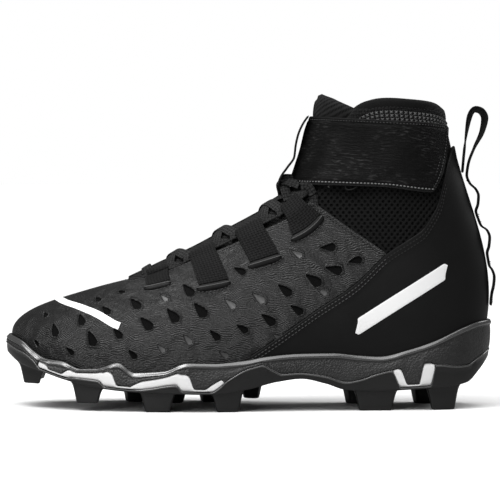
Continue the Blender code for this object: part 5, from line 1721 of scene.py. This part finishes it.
ribbonRows = (
    (0.330, 0.0), (0.366, 0.4), (0.395, 1.7), (0.420, 2.4), (0.443, 1.6), (0.455, 0.3),
    (0.480, 0.0), (0.500, 0.2), (0.520, 2.2), (0.545, 3.8), (0.568, 3.3), (0.584, 0.8),
    (0.608, 0.1), (0.636, 0.2), (0.655, 2.7), (0.678, 4.5), (0.698, 4.2), (0.722, 1.8), (0.750, 1.5),
)
ribbonEye = (
    (0.790, 3.0), (0.842, 6.5), (0.900, 11.6), (0.940, 13.0), (0.962, 10.6), (0.966, 7.8),
    (0.950, 5.2), (0.900, 3.2), (0.842, 1.8), (0.790, 0.9), (0.762, 0.5),
)
ribbon = {"width": 12.0, "twist": 17.0, "tacks": (0.345, 0.467, 0.596, 0.620, 0.735)}


def makeRibbon():
    heel = np.array([heelKnot])
    path = []
    for share, stand in ribbonRows:
        v = vAtHeight(heel, shoe["collarHeight"] * share)
        path.append(skinPoint(heel, v, np.array([-2 * shoe["gap"] - stand]))[0])
    v = vAtHeight(heel, shoe["collarHeight"] * ribbonEye[-1][0])
    seam = skinPoint(heel, v, np.array([-2 * shoe["gap"]]))[0, 0]
    for share, stand in ribbonEye:
        path.append(np.array([seam + stand, path[0][1], shoe["collarHeight"] * share]))
    line = smoothPath(path, 190)
    half = ribbon["width"] / 2
    across = np.linspace(-half, half, 13)
    # the free loop is twisted a little, so its face shows from the side
    along = unit(np.gradient(line, axis=0))
    turn = np.radians(ribbon["twist"]) * np.clip((line[:, 2] / shoe["collarHeight"] - 0.84) / 0.10, 0, 1)
    sideways = np.array([0.0, 1.0, 0.0])
    lean = np.cos(turn)[:, None] * sideways + np.sin(turn)[:, None] * np.cross(along, sideways)
    grid = line[:, None] + lean[:, None] * across[None, :, None]
    piece = softSheet("heelRibbon", grid, webWall, -1, [finish["ribbon"]], angle=70)
    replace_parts(piece, "heel_ribbon")
    tacks = []
    for share in ribbon["tacks"]:
        v = float(vAtHeight(heel, shoe["collarHeight"] * share)[0])
        spot = skinPoint(heel, np.array([v]), np.array([-2 * shoe["gap"] - webWall - 0.2]))[0]
        normal = lastNormal(heel, np.array([v]))[0]
        for dz in (-0.6, 0.6):
            run = spot + np.stack([0 * across, across * 0.8, 0 * across + dz], -1)
            tacks.append((run, np.tile(normal, (len(across), 1))))
    addStitches("ribbonTacks", tacks, finish["thread"], pitch=1.1, width=0.5, height=0.5)


makeRibbon()
print("keeper and heel ribbon made")

# Seams: rows of thread along the edges of vamp, quarter and collar

seams = {
    "pitch": 2.4, "quarterRows": (1.7, 4.0), "backRows": ((1.8, 0.35), (4.2, 0.30)), "edgeRow": 1.7,
    "innerEdgeRow": 3.6, "collarRow": 5.6, "zigzagRows": (8.6, 10.8, 13.0),
}


# a path a little below an edge of the skins, and one a little below the collar's rim
def edgeRun(us, vs, offset, lift):
    v = vs - offset / meridianScale(us, vs)
    return skinPoint(us, v, -lift + 0 * us), lastNormal(us, v)


def collarRun(side, first, last, offset, scaleAt, lift):
    u = station(side, np.linspace(first, last, 300))
    v = 1 - offset / meridianScale(u, np.full(300, scaleAt))
    return skinPoint(u, v, bootDepth - lift + 0 * u), lastNormal(u, v)


def makeSeams():
    light, dark = [], []
    for side in (-1, 1):
        shares = np.linspace(0.3, 0.999, 700)
        u = station(side, shares)
        edge = quarterEdge(u)
        front = vampEdge(u) - seamLow(u) > 0.012
        seam, back = (edge > 0.05) & front, (edge > 0.05) & ~front & (shares < 0.93)
        light += [edgeRun(u[seam], edge[seam], offset, 0.38) for offset in seams["quarterRows"]]
        dark += [edgeRun(u[back], edge[back], offset, lift) for offset, lift in seams["backRows"]]
        u = station(side, np.linspace(0.03, float(vampReach(side)) - 0.01, 700))
        edge = vampEdge(u)
        light.append(edgeRun(u, edge, seams["edgeRow"], 0.05))
        behind = ring(u)[:, 2] > 0.60 * length
        dark.append(edgeRun(u[behind], edge[behind], seams["innerEdgeRow"], 0.05))
        dark.append(collarRun(side, 0.70, 1.0, seams["collarRow"], 0.98, 0.05))
    addStitches("seamStitches", light, finish["thread"], pitch=seams["pitch"], width=0.6, height=0.4)
    addStitches("edgeStitches", dark, finish["threadDark"], pitch=2.2, width=0.6, height=0.4)
    # a zigzag of thick yarn under the collar's rim
    rows = [
        collarRun(side, 0.705, 0.995, drop, 0.95, 0.15) for side in (-1, 1) for drop in seams["zigzagRows"]
    ]
    for slant, name in ((0.75, "collarZigzagA"), (-0.75, "collarZigzagB")):
        addStitches(name, rows, finish["yarn"], pitch=2.9, width=0.95, height=0.9, longShare=0.9, slant=slant)


makeSeams()
print("seams sewn")

# Sole: rubber cage, white plate, studded outsole and insole

sole = {
    "stations": 330, "across": 16, "lipBand": 1.9, "lipBulge": 0.40, "cove": 0.45, "edgeRound": 0.7,
    "beadRings": (
        (0.55, 0.0, 0), (0.18, 0.10, 1), (0.0, 0.35, 1), (0.0, 0.75, 1), (0.22, 1.05, 1), (0.30, 1.4, 0)
    ),
}
pairShares = np.linspace(0, 1, sole["stations"] + 1)
soleStations = np.concatenate([station(-1, pairShares), station(1, pairShares[1:-1])[::-1]])


# a closed shell from rings that run from the middle of its top, round its side, to its underside
def ringShell(name, rings, materials, bandSlots=None, topLift=None, underLift=None, angle=50):
    rings = np.asarray(rings, float)
    bands, count = len(rings) - 1, rings.shape[1]
    bandSlots = [0] * bands if bandSlots is None else bandSlots
    half, across = count // 2, sole["across"]
    points = [rings.reshape(-1, 3)]
    faces = gridFaces(bands + 1, count, 0, True).tolist()
    slots = np.repeat(bandSlots, count).tolist()
    total = (bands + 1) * count
    for row, lift, slot in ((0, topLift, bandSlots[0]), (bands, underLift, bandSlots[-1])):
        k = np.arange(1, half)
        lateral, medial = rings[row, k], rings[row, count - k]
        t = np.linspace(0, 1, across + 1)[1:-1]
        inside = lateral[:, None] + (medial - lateral)[:, None] * t[None, :, None]
        if lift is not None:
            inside[..., 2] += lift(inside[..., 0] / length, np.sin(np.pi * t)[None, :])
        points.append(inside.reshape(-1, 3))
        table = np.empty((half + 1, across + 1), int)
        table[0], table[half] = row * count, row * count + half
        table[1:half, 0] = row * count + k
        table[1:half, across] = row * count + count - k
        table[1:half, 1:across] = total + np.arange((half - 1) * (across - 1)).reshape(half - 1, across - 1)
        total += (half - 1) * (across - 1)
        quads = np.stack([table[:-1, :-1], table[1:, :-1], table[1:, 1:], table[:-1, 1:]], -1).reshape(-1, 4)
        # the first and last rows meet in a point
        found = [list(dict.fromkeys(quad)) for quad in quads.tolist()]
        found = [face for face in found if len(face) > 2]
        faces += found
        slots += [slot] * len(found)
    points = np.concatenate(points)
    return addMesh(name, points, faces, materials, points, slots, angle=angle)


def makeCage():
    u = soleStations
    under, _, cage = soleLevels(u)
    gap, wall, rimWall = shoe["gap"], shoe["plateWall"], shoe["rimWall"]
    ledge = 2 * wall + 2 * gap
    top = rimV(u)
    foot = skinPoint(u, 0.0, -gap + 0 * u)
    rings = [np.stack([foot[:, 0], foot[:, 1], lastPoint(u, 0.0)[:, 2] - gap], -1)]
    rings += [skinPoint(u, top * share, -gap + 0 * u) for share in (0.25, 0.5, 0.75, 0.92)]
    slots = [0] * 4
    scale = meridianScale(u, top)
    # the rounded top and the bulge under it take the lip finish, whose lighter colour paints the highlight
    # line
    for turn in np.linspace(0, np.pi, 8):
        depth = -gap - rimWall * (0.5 - 0.5 * math.cos(turn))
        rings.append(skinPoint(u, top + math.sin(turn) * rimWall * 0.3 / scale, depth + 0 * u))
        slots.append(1 if turn > 0.4 else 0)
    lip = skinPoint(u, top, -gap - rimWall + 0 * u)
    edge = edgeAt(u, 0.0, cage)
    flat = np.concatenate([outward(u), 0 * u[:, None]], -1)

    # a ring on the wall between lip and edge, bellied out and pushed sideways by size
    def wallRing(share, size):
        return lip + (edge - lip) * share[:, None] + flat * (1.8 * share * (1 - share) + size)[:, None]

    # the lip stands proud over a shallow cove
    lipShare = np.clip(sole["lipBand"] / np.maximum(lip[:, 2] - edge[:, 2], 0.5), 0.05, 0.45)
    lipRings = (
        (0.35, 0.75, 1), (0.7, 0.9, 1), (1.0, 0.5, 1), (1.25, -0.6, 0), (1.7, -1.0, 0), (2.3, -0.7, 0)
    )
    for t, stand, slot in lipRings:
        rings.append(
            wallRing(np.minimum(lipShare * t, 0.6), stand * sole["lipBulge" if stand > 0 else "cove"])
        )
        slots.append(slot)
    startShare = np.minimum(lipShare * lipRings[-1][0], 0.6)
    for t in np.linspace(0.15, 0.93, 9):
        rings.append(wallRing(startShare + (1 - startShare) * t, -0.315 * (1 - t) ** 2))
    r = sole["edgeRound"]
    rings += [
        edge + np.array([0, 0, 1.0]) * r * 0.35 - flat * r * 0.12, edge - flat * r * 0.5,
        edge - flat * r * 1.3
    ]
    rings += [edgeAt(u, ledge, cage), edgeAt(u, ledge, under + ledge + 0.01)]
    slots += [0] * (len(rings) - 1 - len(slots))
    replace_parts(ringShell("rubberCage", rings, [finish["cage"], finish["lip"]], slots, angle=60), "midsole")


plateSwell = (
    (0.02, 0.35), (0.06, 0.75), (0.14, 0.95), (0.3, 1.0), (0.5, 1.0), (0.7, 1.0),
    (0.86, 0.95), (0.94, 0.75), (0.98, 0.35),
)


def makePlate():
    u = soleStations
    under, panel, cage = soleLevels(u)
    gap, wall = shoe["gap"], shoe["plateWall"]
    inset = wall + gap
    floor = under + wall + gap
    top = np.maximum(cage - gap, floor + wall)
    opened = ramp(cage - panel, 1.0, 1.2)
    low, high = np.maximum(panel + 0.2, floor + 0.3), np.maximum(top - 0.05, panel + 0.4)
    rings = [edgeAt(u, inset + wall, floor + wall - 0.01), edgeAt(u, inset + wall, top - 0.2)]
    rings += [edgeAt(u, inset + wall - 0.2, top), edgeAt(u, inset, high)]
    # in the windows the plate swells out to fill them
    for t, swell in plateSwell:
        rings.append(edgeAt(u, inset - opened * swell * (inset - 0.35), high + (low - high) * t))
    rings += [edgeAt(u, inset, low), edgeAt(u, inset, floor + 0.2), edgeAt(u, inset + 0.2, floor)]
    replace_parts(ringShell("whiteInlayPlate", rings, [finish["plate"]], angle=45), "plate")


studs = (  # name, share of the length, side, share of the way in, foot length, foot width, height of the foot
    ("toeOuter", 0.056, -1, 0.16, 9.5, 11.0, 15.0), ("toeInner", 0.056, 1, 0.16, 9.5, 11.0, 15.0),
    ("foreOuter", 0.174, -1, 0.03, 12.5, 12.0, 4.8), ("foreInner", 0.166, 1, 0.03, 12.5, 12.0, 5.4),
    ("ballOuter", 0.318, -1, 0.02, 14.5, 13.0, 0.0), ("ballInner", 0.268, 1, 0.02, 14.0, 13.0, 0.0),
    ("ballMiddle", 0.345, 1, 0.82, 12.0, 11.0, 2.0), ("waistOuter", 0.460, -1, 0.02, 12.5, 12.0, 0.0),
    ("waistInner", 0.424, 1, 0.02, 12.5, 12.0, 0.0), ("archInner", 0.508, 1, 0.30, 9.0, 9.0, 3.5),
    ("heelFrontOuter", 0.761, -1, 0.02, 19.0, 12.0, 0.0), ("heelFrontInner", 0.738, 1, 0.02, 18.0, 12.0, 0.0),
    ("heelRearOuter", 0.900, -1, 0.04, 13.5, 11.0, 0.0), ("heelRearInner", 0.872, 1, 0.04, 13.5, 11.0, 0.0),
)
stud = {"flare": 6.0, "tuck": 1.8, "corner": 1.5, "bevel": 0.8, "dish": 0.35, "fillet": 1.0}


def studLoop(along, side, inward, long, wide, tuck, zOf):
    x0, half = length * along, long / 2
    found = []
    for dx, deep in (
        (-half, 0.06), (half, 0.06), (half * 1.06, 0.5), (half * 0.72, 1.0), (-half * 0.72, 1.0),
        (-half * 1.06, 0.5)
    ):
        x = min(max(x0 + dx, 3.0), length - 3.0)
        middle = float(edgeY(x0, -1) + edgeY(x0, 1)) / 2
        border = float(edgeY(x, side)) - side * tuck
        start = border + (middle - border) * inward
        found.append(np.array([x, start - side * deep * wide, zOf(x)]))
    return np.array(found)


# cuts each corner of a loop with a short arc
def roundLoop(loop, radius, steps=4):
    found = []
    for i, corner in enumerate(loop):
        before, after = loop[i - 1] - corner, loop[(i + 1) % len(loop)] - corner
        a, b = np.linalg.norm(before), np.linalg.norm(after)
        p = corner + before / a * min(radius, a * 0.42)
        q = corner + after / b * min(radius, b * 0.42)
        for t in np.linspace(0, 1, steps + 1):
            found.append(p * (1 - t) ** 2 + corner * 2 * t * (1 - t) + q * t * t)
    return np.array(found)


def panelHeight(along):
    lug = shoe["lugHeight"]
    return underHeight(along) + lug * max(float(panelOf(along)), shoe["plateWall"] / lug)


def makeStud(name, along, side, inward, long, wide, lift):
    def root(x):
        return float(underHeight(min(max(x / length, 0.0), 1.0))) + shoe["plateWall"] * 0.5

    def waist(x):
        return lift + (root(x) - lift) * 0.55

    foot = studLoop(along, side, inward, long, wide, stud["tuck"], lambda x: lift)
    middle = studLoop(along, side, inward, long + stud["flare"] * 0.5, wide + 1.5, 1.1, waist)
    top = studLoop(along, side, inward, long + stud["flare"], wide + 3.0, 0.7, root)

    def level(t, grow, drop=0.0, inset=0.30):
        if t < 0.45:
            loop = top + (middle - top) * (t / 0.45)
        else:
            loop = middle + (foot - middle) * ((t - 0.45) / 0.55)
        centre = loop.mean(axis=0)
        way = loop - centre
        way[:, 2] = 0
        loop = loop + unit(way) * grow
        loop[:, 2] += drop
        border = edgeY(loop[:, 0], side) - side * (inset + 0.5 * t)
        loop[:, 1] = np.where(side * (loop[:, 1] - border) > 0, border, loop[:, 1])
        return roundLoop(loop, stud["corner"])

    fillet, bevel = stud["fillet"], stud["bevel"]
    # the outer face runs a little way up the panel, as one facet
    climb = min(2.6, 0.75 * float(panelHeight(along) - underHeight(along)))
    rings = [
        level(0.0, fillet * 1.6, climb, 0.8), level(0.0, fillet * 1.5, climb * 0.86, 0.10),
        level(0.0, fillet * 1.1, 0.0, 0.10)
    ]
    rings.append(level(0.03, fillet))
    fade = ((0.07, 0.62), (0.12, 0.36), (0.18, 0.16), (0.26, 0.04))
    rings += [level(t, fillet * share) for t, share in fade]
    rings += [level(t, 0.0) for t in (0.36, 0.45, 0.6, 0.75, 0.88)]
    tall = top[:, 2].mean() - lift
    rings += [
        level(1 - 0.8 * bevel / tall, 0.0), level(1 - 0.35 * bevel / tall, -0.18 * bevel),
        level(1.0, -bevel * 0.75)
    ]
    rings += [level(1.0, -bevel * 1.5, stud["dish"] * 0.35), level(1.0, -bevel * 2.6, stud["dish"])]
    rings = np.array(rings)
    n = rings.shape[1]
    faces = gridFaces(len(rings), n, 0, True).tolist()
    faces += [list(range(n)), list(range((len(rings) - 1) * n, len(rings) * n))[::-1]]
    points = rings.reshape(-1, 3)
    return addMesh(
        "stud" + name[0].upper() + name[1:], points, faces, [finish["stud"], finish["lip"]], points, angle=32
    )


def makeOutsole():
    u = soleStations
    under, panel, _ = soleLevels(u)
    wall = shoe["plateWall"]
    top = np.maximum(panel, under + wall)
    drop = np.minimum(1.0, (top - under) / 2.2)
    bead = 0.22 * ramp(top - under - wall, 0.4, 1.5)  # a thin bead runs along the panels' upper edge
    rings = [edgeAt(u, wall, under + wall - 0.01), edgeAt(u, wall, top - 0.25), edgeAt(u, wall - 0.25, top)]
    slots = [0, 0]
    # the bead's rings in slot 1 take the lip finish, whose lighter colour paints a highlight line
    for inset, fall, slot in sole["beadRings"]:
        rings.append(edgeAt(u, inset - bead * slot, top - fall * drop))
        slots.append(slot)
    belly = ramp(top - under, 2.0, 8)
    for t in (0.3, 0.5, 0.7, 0.86):
        inset = 0.3 + 0.3 * t - belly * 0.2 * np.sin(np.pi * t)
        rings.append(edgeAt(u, inset, (top - 1.4 * drop) * (1 - t) + (under + 0.5) * t))
    rings += [
        edgeAt(u, inset, under + up) for inset, up in ((0.65, 0.45), (0.9, 0.12), (1.4, 0.0), (3.4, 0.0))
    ]
    slots += [0] * (len(rings) - 1 - len(slots))

    # the underside is ribbed across the forefoot, with a shallow channel down the waist
    def underRelief(share, middle):
        ribsHere = np.clip((0.60 - share) / 0.05, 0, 1) * ramp(share, 0.06, 0.04)
        wave = np.clip(np.sin(share * length * 2 * np.pi / 9.0), 0, 1)
        waistHere = ramp(share, 0.52, 0.05) * np.clip((0.72 - share) / 0.05, 0, 1)
        return middle**0.5 * (0.45 * ribsHere * wave + 0.8 * waistHere * middle**3)

    made = [
        ringShell("soleplate", rings, [finish["stud"], finish["lip"]], slots, None, underRelief, angle=45)
    ]
    made += [makeStud(*one) for one in studs]
    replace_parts(joinPieces("studdedOutsole", made), "outsole")


# how far in from the insole's border each ring lies, and how high
insoleEdge = (
    (4.0, 3.6), (2.5, 3.6), (1.2, 3.348), (0.4, 2.952), (0.0, 2.376), (0.0, 1.08), (0.15, 0.08), (0.5, 0.0),
)


def makeInsole():
    u = soleStations
    depth = bootDepth + shoe["upperWall"] + 0.8
    out = outward(u)
    foot = lastPoint(u, 0.0)
    rings = []
    for inset, up in insoleEdge:
        plan = foot[:, :2] - out * (depth + inset)
        rings.append(np.concatenate([plan, foot[:, 2:] + up], -1))

    def hollow(share, middle):
        return -0.9 * middle**0.6 * (0.35 + 0.65 * ramp(share, 0.6, 0.2))

    piece = ringShell("insolePad", rings, [finish["insole"]], None, hollow, angle=70)
    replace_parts(piece, "insole")


makeCage()
print("cage made")
makePlate()
makeOutsole()
makeInsole()
print("sole made with", len(studs), "studs")

# Stage, light and camera

studio = {
    "floorSize": 9.0,
    "floor": (0.93, 0.93, 0.93, 1),
    "backdrop": 1.0,
    "fill": 0.14,
    "sun": 3.6,
    "floorBounce": 0.34,
    "distance": 2.0,
    "elevation": 2.0,
    "target": (-0.00018, 0.0, 0.0954),
    "frameWidth": 0.30475,
    "sunSpread": 75,
    "sunLean": (16, -8),
}
softboxes = (  # name, place, aim, width, height, power
    ("topSoftbox", (-0.35, -0.40, 0.9), (-0.03, 0.0, 0.10), 0.5, 0.35, 5.0),
    ("frontSoftbox", (-0.7, -1.3, 0.40), (-0.02, 0.0, 0.05), 0.6, 0.6, 5.0),
    ("rearSoftbox", (0.7, 0.5, 0.6), (0.06, 0.0, 0.10), 0.4, 0.4, 2.5),
)


def makeStage():
    size = studio["floorSize"]
    mesh = bpy.data.meshes.new("paleFloor")
    rings, sides = (0.0, 0.3, 0.8, 2.0, size), 64
    points = [(0.0, 0.0, 0.0)]
    for radius in rings[1:]:
        turns = [2 * math.pi * k / sides for k in range(sides)]
        points += [(radius * math.cos(turn), radius * math.sin(turn), 0.0) for turn in turns]
    faces = [(0, 1 + k, 1 + (k + 1) % sides) for k in range(sides)]
    for r in range(len(rings) - 2):
        a, b = 1 + r * sides, 1 + (r + 1) * sides
        faces += [(a + k, b + k, b + (k + 1) % sides, a + (k + 1) % sides) for k in range(sides)]
    mesh.from_pydata(points, [], faces)
    floor = bpy.data.objects.new("paleFloor", mesh)
    bpy.context.scene.collection.objects.link(floor)
    material = bpy.data.materials.new("paleFloor")
    material.use_nodes = True
    tree = material.node_tree
    shader = tree.nodes["Principled BSDF"]
    shader.inputs["Specular IOR Level"].default_value = 0.2
    # a white floor for the camera that throws less light up at the shoe
    bright, dim = studio["floor"][0], studio["floorBounce"]
    seen = addNode(tree, "LightPath").outputs["Is Camera Ray"]
    level = addNode(tree, "CombineColor")
    for channel in ("Red", "Green", "Blue"):
        tree.links.new(spread(tree, seen, 0.0, 1.0, dim, bright), level.inputs[channel])
    tree.links.new(level.outputs["Color"], shader.inputs["Base Color"])
    cloud = noiseAt(tree, addNode(tree, "TexCoord").outputs["Object"], 3.0, 2.0)
    tree.links.new(spread(tree, cloud, 0.2, 0.8, 0.55, 0.65), shader.inputs["Roughness"])
    mesh.materials.append(material)


def addArea(name, place, aim, width, height, power):
    light = bpy.data.lights.new(name, "AREA")
    light.shape = "RECTANGLE"
    light.size, light.size_y = width, height
    light.energy = power
    lamp = bpy.data.objects.new(name, light)
    lamp.location = place
    lamp.rotation_euler = (Vector(aim) - Vector(place)).to_track_quat("-Z", "Y").to_euler()
    bpy.context.scene.collection.objects.link(lamp)


def makeLight():
    world = bpy.data.worlds.new("paleWorld")
    world.use_nodes = True
    tree = world.node_tree
    background = tree.nodes["Background"]
    background.inputs["Color"].default_value = (1, 1, 1, 1)
    # the camera sees a white backdrop, while its light on the shoe is dimmer
    path = addNode(tree, "LightPath")
    strength = spread(tree, path.outputs["Is Camera Ray"], 0.0, 1.0, studio["fill"], studio["backdrop"])
    tree.links.new(strength, background.inputs["Strength"])
    bpy.context.scene.world = world
    sun = bpy.data.lights.new("softSky", "SUN")
    sun.energy = studio["sun"]
    sun.angle = math.radians(studio["sunSpread"])
    lamp = bpy.data.objects.new("softSky", sun)
    lamp.rotation_euler = [math.radians(turn) for turn in (*studio["sunLean"], 0.0)]
    bpy.context.scene.collection.objects.link(lamp)
    for box in softboxes:
        addArea(*box)
    bpy.context.scene.view_settings.view_transform = "Standard"


def makeCamera():
    data = bpy.data.cameras.new("photoCamera")
    data.sensor_width = 36.0
    data.lens = 36.0 * studio["distance"] / studio["frameWidth"]
    data.clip_start, data.clip_end = 0.05, 60.0
    camera = bpy.data.objects.new("photoCamera", data)
    rise = math.radians(studio["elevation"])
    target = Vector(studio["target"])
    camera.location = target + Vector((0.0, -math.cos(rise), math.sin(rise))) * studio["distance"]
    camera.rotation_euler = (target - camera.location).to_track_quat("-Z", "Y").to_euler()
    bpy.context.scene.collection.objects.link(camera)
    bpy.context.scene.camera = camera


makeStage()
makeLight()
makeCamera()
print("stage, light and camera ready")
